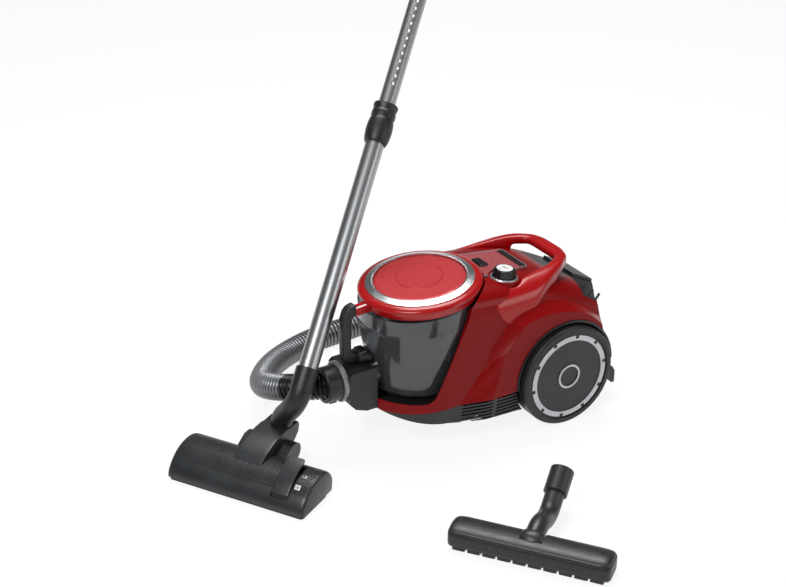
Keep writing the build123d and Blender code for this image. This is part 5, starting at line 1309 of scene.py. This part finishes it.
# ---------------------------------------------------------------- hard-floor nozzle's shell
@dataclass
class HardFloorShell:
    """Domed top, rubbing strip and neck knuckle of the hard-floor nozzle. Sizes are millimetres."""

    station: Station
    half: float = 134.0
    hole_count: int = 14
    hole_pitch: float = 17.5
    lip_count: int = 10
    lip_pitch: float = 25.2

    def open_pocket(self, piece: Piece) -> None:
        """Cut the pocket in which the neck tilts out of a piece."""
        Bench.cut(piece, (17.0, 78.0), (-18.8, 18.8), (14.8, 60.0))

    def strip(self) -> None:
        """Draw the strip under the dome, with rounded ends."""
        outline = (
            (2.6, 7.0), (0.6, 9.5), (0.0, 15.0), (0.0, 26.0), (0.8, 30.2), (2.6, 32.4), (51.4, 32.4),
            (53.2, 30.2), (54.0, 26.0), (54.0, 15.0), (53.4, 9.5), (51.4, 7.0),
        )
        ends = ((0.0, 0.62, 0.9), (1.2, 0.78, 0.97), (3.6, 0.9, 1.0), (7.0, 0.965, 1.0), (12.0, 1.0, 1.0))
        strip = Bench.drawn("hard_floor_strip", outline, mirrored(self.half, ends), (27.0, 19.7))
        Bench.cut(strip, (14.0, 40.0), (-115.0, 115.0), (0.0, 12.0))
        self.open_pocket(strip)
        Bench.finish(strip, Look.BLACK_SATIN, "hard_floor_nozzle", "black_satin", place=self.station.matrix())
        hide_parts("hard_floor_body")

    def lips(self) -> None:
        """Hang the row of notched rubber lips under the strip's front and back edges."""
        marks = []
        for back in (3.2, 50.8):
            for number in range(self.lip_count):
                lateral = (number - (self.lip_count - 1) / 2) * self.lip_pitch
                marks.append(Bench.bar("lip", (back, lateral, 5.2), (3.6, 20.5, 6.4), 1.1))
        made = Bench.join(marks, "strip_lips")
        Bench.finish(made, Look.BLACK_SATIN, "hard_floor_nozzle", "black_satin", place=self.station.matrix())

    def dome(self) -> None:
        """Draw the domed top, a step in from the strip's edge."""
        crown = ((1.2, 33.6), (3.2, 36.6), (12.0, 40.2), (26.0, 41.6), (41.0, 40.0), (50.0, 36.6), (52.8, 33.6))
        outline = [(2.6, 32.0), *curve(crown, 3), (51.4, 32.0)]
        ends = (
            (1.0, 0.55, 0.45), (2.4, 0.74, 0.62), (5.0, 0.87, 0.78), (9.0, 0.95, 0.9), (15.0, 0.985, 0.97),
            (24.0, 1.0, 1.0),
        )
        made = Bench.drawn("hard_floor_dome", outline, mirrored(self.half, ends), (27.0, 32.0))
        self.open_pocket(made)
        Bench.finish(made, Look.ANTHRACITE, "hard_floor_nozzle", "anthracite", 50.0, self.station.matrix())

    def knuckle(self) -> None:
        """Turn the neck's rounded foot about its tilt axis, so it looks the same at every tilt."""
        half = ((-21.5, 1.0), (-21.0, 8.0), (-19.5, 13.0), (-16.5, 16.6), (-11.0, 19.4), (-4.0, 20.6))
        rows = [*half, *((-height, radius) for height, radius in reversed(half))]
        made = Bench.turned("neck_knuckle", in_mm(rows), 40)
        place = self.station.matrix() @ placed((32.0, 0.0, 30.0), 90.0, "X")
        Bench.finish(made, Look.ANTHRACITE, "neck", "anthracite", 60.0, place)

    def holes(self) -> None:
        """Set the row of small air holes along the strip's front, drawn as black discs of painted shade."""
        marks = []
        for number in range(self.hole_count):
            Bench.clear()
            # Painted shade: each hole is a black disc set into the strip, not an opening.
            bpy.ops.mesh.primitive_cylinder_add(vertices=12, radius=1.3 * MM, depth=1.0 * MM)
            shade_disc = Bench.new("hole_shade_disc")
            Bench.modify(shade_disc, "BEVEL", width=0.3 * MM, segments=1, limit_method="ANGLE")
            lateral = (number - (self.hole_count - 1) / 2) * self.hole_pitch
            marks.append(Bench.settle(shade_disc, placed((0.1, lateral, 21.0), 90.0, "Y")))
        made = Bench.join(marks, "air_hole_shade_discs")
        Bench.finish(made, Look.BLACK_GLOSS, "hard_floor_nozzle", "black_gloss", place=self.station.matrix())

    def build(self) -> None:
        """Build the strip, the lips, the dome, the knuckle and the holes."""
        self.strip()
        self.lips()
        self.dome()
        self.knuckle()
        self.holes()


# ---------------------------------------------------------------- bin's grip
@dataclass
class BinGrip:
    """C-shaped grip of the dust bin with its saddle, finger ribs and lid strip. Sizes are millimetres."""

    half_width: float = 9.4
    edge: float = 6.2
    rib_count: int = 11
    rib_pitch: float = 5.6
    outline: tuple[Pair, ...] = (
        (-372.0, 163.0), (-380.0, 165.5), (-384.0, 173.0), (-384.6, 190.0), (-384.6, 236.0), (-383.4, 250.0),
        (-379.6, 262.0), (-373.0, 269.5), (-364.0, 273.0), (-357.6, 272.8), (-357.6, 254.0), (-362.5, 252.4),
        (-366.2, 248.0), (-368.0, 240.0), (-368.4, 226.0), (-368.4, 192.0), (-366.8, 184.0), (-360.6, 179.4),
        (-356.6, 178.6), (-356.6, 163.0),
    )

    def bow(self) -> None:
        """Draw the C-shaped bow with its edges rounded to an oval."""
        rows = mirrored(self.half_width, ((0.0, 1.0, 1.0),))
        bow = Bench.drawn("grip_bow", self.outline, rows, (-360.0, 210.0))
        limit = math.radians(50.0)
        Bench.modify(bow, "BEVEL", width=self.edge * MM, segments=4, limit_method="ANGLE", angle_limit=limit)
        Bench.finish(bow, Look.BLACK_SATIN, "bin", "black_satin", smooth=60.0)
        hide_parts("bin_handle")

    def saddle(self) -> None:
        """Draw the saddle that holds the bow's foot and the release button."""
        block = Bench.bar("saddle", (-343.2, 0.0, 170.0), (31.0, 33.6, 15.6), 4.5)
        sill = Bench.bar("sill", (-347.0, 0.0, 177.4), (19.6, 27.6, 2.8), 1.2)
        made = Bench.join([block, sill], "grip_saddle")
        Bench.finish(made, Look.BLACK_SATIN, "bin", "black_satin", smooth=40.0)

    def ribs(self) -> None:
        """Set the row of finger ribs down the bow's front."""
        heights = [188.0 + self.rib_pitch * number for number in range(self.rib_count)]
        bars = [Bench.bar("rib", (-384.5, 0.0, height), (1.6, 9.0, 2.6), 0.6) for height in heights]
        Bench.finish(Bench.join(bars, "grip_ribs"), Look.BLACK_GLOSS, "bin", "black_gloss")

    def strip(self) -> None:
        """Set the bright strip on the lid's tab."""
        made = Bench.bar("tab_strip", (0.0, 0.0, 0.0), (21.0, 4.2, 0.9), 0.35)
        Bench.finish(made, Look.WHITE, "lid", "light_grey", place=placed((-346.5, -3.2, 265.5), -5.9, "Y"))

    def build(self) -> None:
        """Build the bow, the saddle, the ribs and the lid's strip."""
        self.bow()
        self.saddle()
        self.ribs()
        self.strip()


# ---------------------------------------------------------------- carry handle's skin
@dataclass
class HandleSkin:
    """The carry handle with its facets worked into one soft, rounded shape."""

    voxel: float = 1.9 * MM
    rounds: int = 70
    regain: float = 0.9 * MM
    tip_x: float = -0.132
    tip_fade: float = 0.05

    def build(self) -> None:
        """Copy the handle's solid, remesh it, round it, and push it back out to its size."""
        made = Bench.link("handle_skin", bpy.data.objects["carry_handle"].data.copy())
        Bench.take(made)
        Bench.edit_all()
        bpy.ops.mesh.remove_doubles(threshold=0.00002)
        bpy.ops.object.mode_set(mode="OBJECT")
        Bench.modify(made, "REMESH", mode="VOXEL", voxel_size=self.voxel)
        # The tips keep their shape, because they end in pockets of the housing.
        soft = made.vertex_groups.new(name="soft")
        for vertex in made.data.vertices:
            share = (vertex.co.x - self.tip_x) / self.tip_fade
            soft.add([vertex.index], min(1.0, max(0.0, share)), "REPLACE")
        Bench.modify(made, "SMOOTH", factor=0.5, iterations=self.rounds, vertex_group="soft")
        Bench.modify(made, "DISPLACE", strength=self.regain, mid_level=0.0)
        Bench.finish(made, Look.RED_LID, "canister", "red_gloss", smooth=180.0)
        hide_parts("carry_handle")


# ---------------------------------------------------------------- power knob's details
@dataclass
class KnobDetails:
    """Grip ribs, cap marks and collar of the power knob. Sizes are millimetres."""

    foot: Point = (-91.0, -60.0, 281.5)
    lean: float = 4.5
    radius: float = 20.0
    cap_top: float = 16.5
    face_rise: float = 0.7
    rib_count: int = 30
    step_count: int = 5

    def matrix(self) -> Matrix:
        """Return the knob's place: its Z out of the panel."""
        return placed(self.foot, self.lean, "Y")

    def ribs(self) -> None:
        """Set the ribs round the knob's side."""
        bars = []
        for number in range(self.rib_count):
            rib = Bench.bar("rib", (self.radius, 0.0, 7.8), (1.6, 1.9, 9.6), 0.6)
            bars.append(Bench.settle(rib, Matrix.Rotation(math.tau * number / self.rib_count, 4, "Z")))
        made = Bench.join(bars, "knob_ribs")
        Bench.finish(made, Look.BLACK_SATIN, "knob", "black_satin", place=self.matrix())

    def face(self) -> None:
        """Turn the pale disc let into the cap."""
        profile = ((-0.8, 14.6), (0.3, 14.6), (0.7, 14.1), (0.8, 12.0), (0.7, 0.6))
        rows = in_mm([(self.cap_top + height, radius) for height, radius in profile])
        Bench.finish(Bench.turned("knob_face", rows, 48), Look.WHITE, "knob", "light_grey", 40.0, self.matrix())

    def marks(self) -> None:
        """Set the pointer and the growing power bars on the cap."""
        top = self.cap_top + self.face_rise
        bars = [Bench.bar("pointer", (-11.0, 0.0, top), (4.0, 1.6, 0.4), 0.15)]
        for number in range(self.step_count):
            length = 2.4 + 1.0 * number
            bars.append(Bench.bar("step", (3.5 - length / 2, (number - 2) * 2.7, top), (length, 1.3, 0.4), 0.15))
        made = Bench.join(bars, "knob_marks")
        Bench.finish(made, Look.BLACK_SATIN, "knob", "black_satin", place=self.matrix())

    def collar(self) -> None:
        """Turn the bright collar round the knob's foot."""
        rows = ((-0.6, 21.4), (1.2, 21.4), (1.6, 21.8), (1.6, 23.4), (0.9, 24.3), (-0.6, 24.6))
        made = Bench.turned("knob_collar", in_mm(rows), 72, closed=False)
        Bench.settle(made, self.matrix())
        Bench.modify(made, "SOLIDIFY", thickness=0.4 * MM, offset=-1.0)
        Bench.finish(made, Look.SILVER, "canister", "silver_paint", smooth=50.0)

    def build(self) -> None:
        """Build the ribs, the face, the marks and the collar."""
        self.ribs()
        self.face()
        self.marks()
        self.collar()


# ---------------------------------------------------------------- notches of the sliding tube
@dataclass
class TubeNotches:
    """Row of height notches pressed into the sliding tube, drawn as black plates of painted shade with white
    plates of painted highlight on them. Sizes are millimetres.
    """

    foot: Point = (-488.2, -32.9, 134.0)
    axis: Point = (0.559845, 0.411247, 0.71934)
    tube_r: float = 15.25
    middle: float = 780.5
    pitch: float = 15.0
    count: int = 26
    turn: float = 25.0

    def matrix(self, along: float, proud: float) -> Matrix:
        """Find the place of a notch: its X along the tube and its Z out of it.

        Args:
            along: its distance from the tube's foot.
            proud: how far its middle stands out of the tube's skin.

        Returns:
            The place.
        """
        axis = Vector(self.axis).normalized()
        side = axis.cross(Vector((0, 0, 1))).normalized()
        face = side.cross(axis).normalized()
        turn = math.radians(self.turn)
        out = face * math.cos(turn) + side * math.sin(turn)
        centre = (Vector(self.foot) + axis * along + out * (self.tube_r + proud)) * MM
        return Matrix.Translation(centre) @ Matrix((axis, out.cross(axis), out)).transposed().to_4x4()

    def row(self, name: str, size: Point, proud: float, look: Look, slot: str) -> None:
        """Set one plate at each notch and join them into one piece.

        Args:
            name: the piece's name.
            size: a plate's three sides.
            proud: how far the plates' middles stand out of the tube's skin.
            look: their finish.
            slot: the record's material slot.
        """
        plates = []
        for number in range(self.count):
            plate = Bench.bar("plate", (0.0, 0.0, 0.0), size, 0.2)
            along = self.middle + (number - (self.count - 1) / 2) * self.pitch
            plates.append(Bench.settle(plate, self.matrix(along, proud)))
        Bench.finish(Bench.join(plates, name), look, "wand_top_tube", slot)

    def build(self) -> None:
        """Build the black plates of painted shade in the notches and the white plates of painted highlight on
        their steps.
        """
        # Painted shade and painted highlight: the notches are the tube's own steel, shown by a black and a white
        # plate.
        self.row("notch_painted_shade", (9.6, 6.0, 0.3), -0.46, Look.BLACK_GLOSS, "black_gloss")
        self.row("notch_painted_highlights", (5.6, 4.2, 0.3), -0.36, Look.WHITE, "light_grey")


# ---------------------------------------------------------------- whole cleaner
def dress_cad(nodes: dict[str, Piece]) -> None:
    """Give every carried-over CAD node its procedural material.

    Args:
        nodes: the frame's nodes by name.
    """
    for look, names in CAD_LOOKS.items():
        for name in names:
            for slot in nodes[name].material_slots:
                slot.material = look.material()


def main() -> None:
    """Build the cleaner around its frame and report each piece."""
    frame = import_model()
    Studio().build()
    dress_cad(frame["nodes"])
    SuctionHose().build()
    pitch = (BRUSH_WIDTH - 2 * BRUSH_END) / TUFTS_PER_ROW
    laterals = [(number - (TUFTS_PER_ROW - 1) / 2) * pitch for number in range(TUFTS_PER_ROW)]
    places = tuple((back, lateral) for back in BRUSH_ROWS for lateral in laterals)
    brush = BristleField(
        "hard_floor_tufts", HARD_FLOOR, places, size=(0.008, 0.022), foot=0.0004, top=0.0085, step=2.1 * MM, seed=5
    )
    brush.build(Look.BRISTLE, "hard_floor_nozzle", "hard_floor_bristles")
    CordWinding().build()
    FloorNozzleShell(FLOOR_NOZZLE).build()
    HardFloorShell(HARD_FLOOR).build()
    BinGrip().build()
    TubeNotches().build()
    KnobDetails().build()
    HandleSkin().build()


if __name__ == "__main__":
    logging.basicConfig(level=logging.INFO, format="%(name)s %(message)s", stream=sys.stdout)
    main()
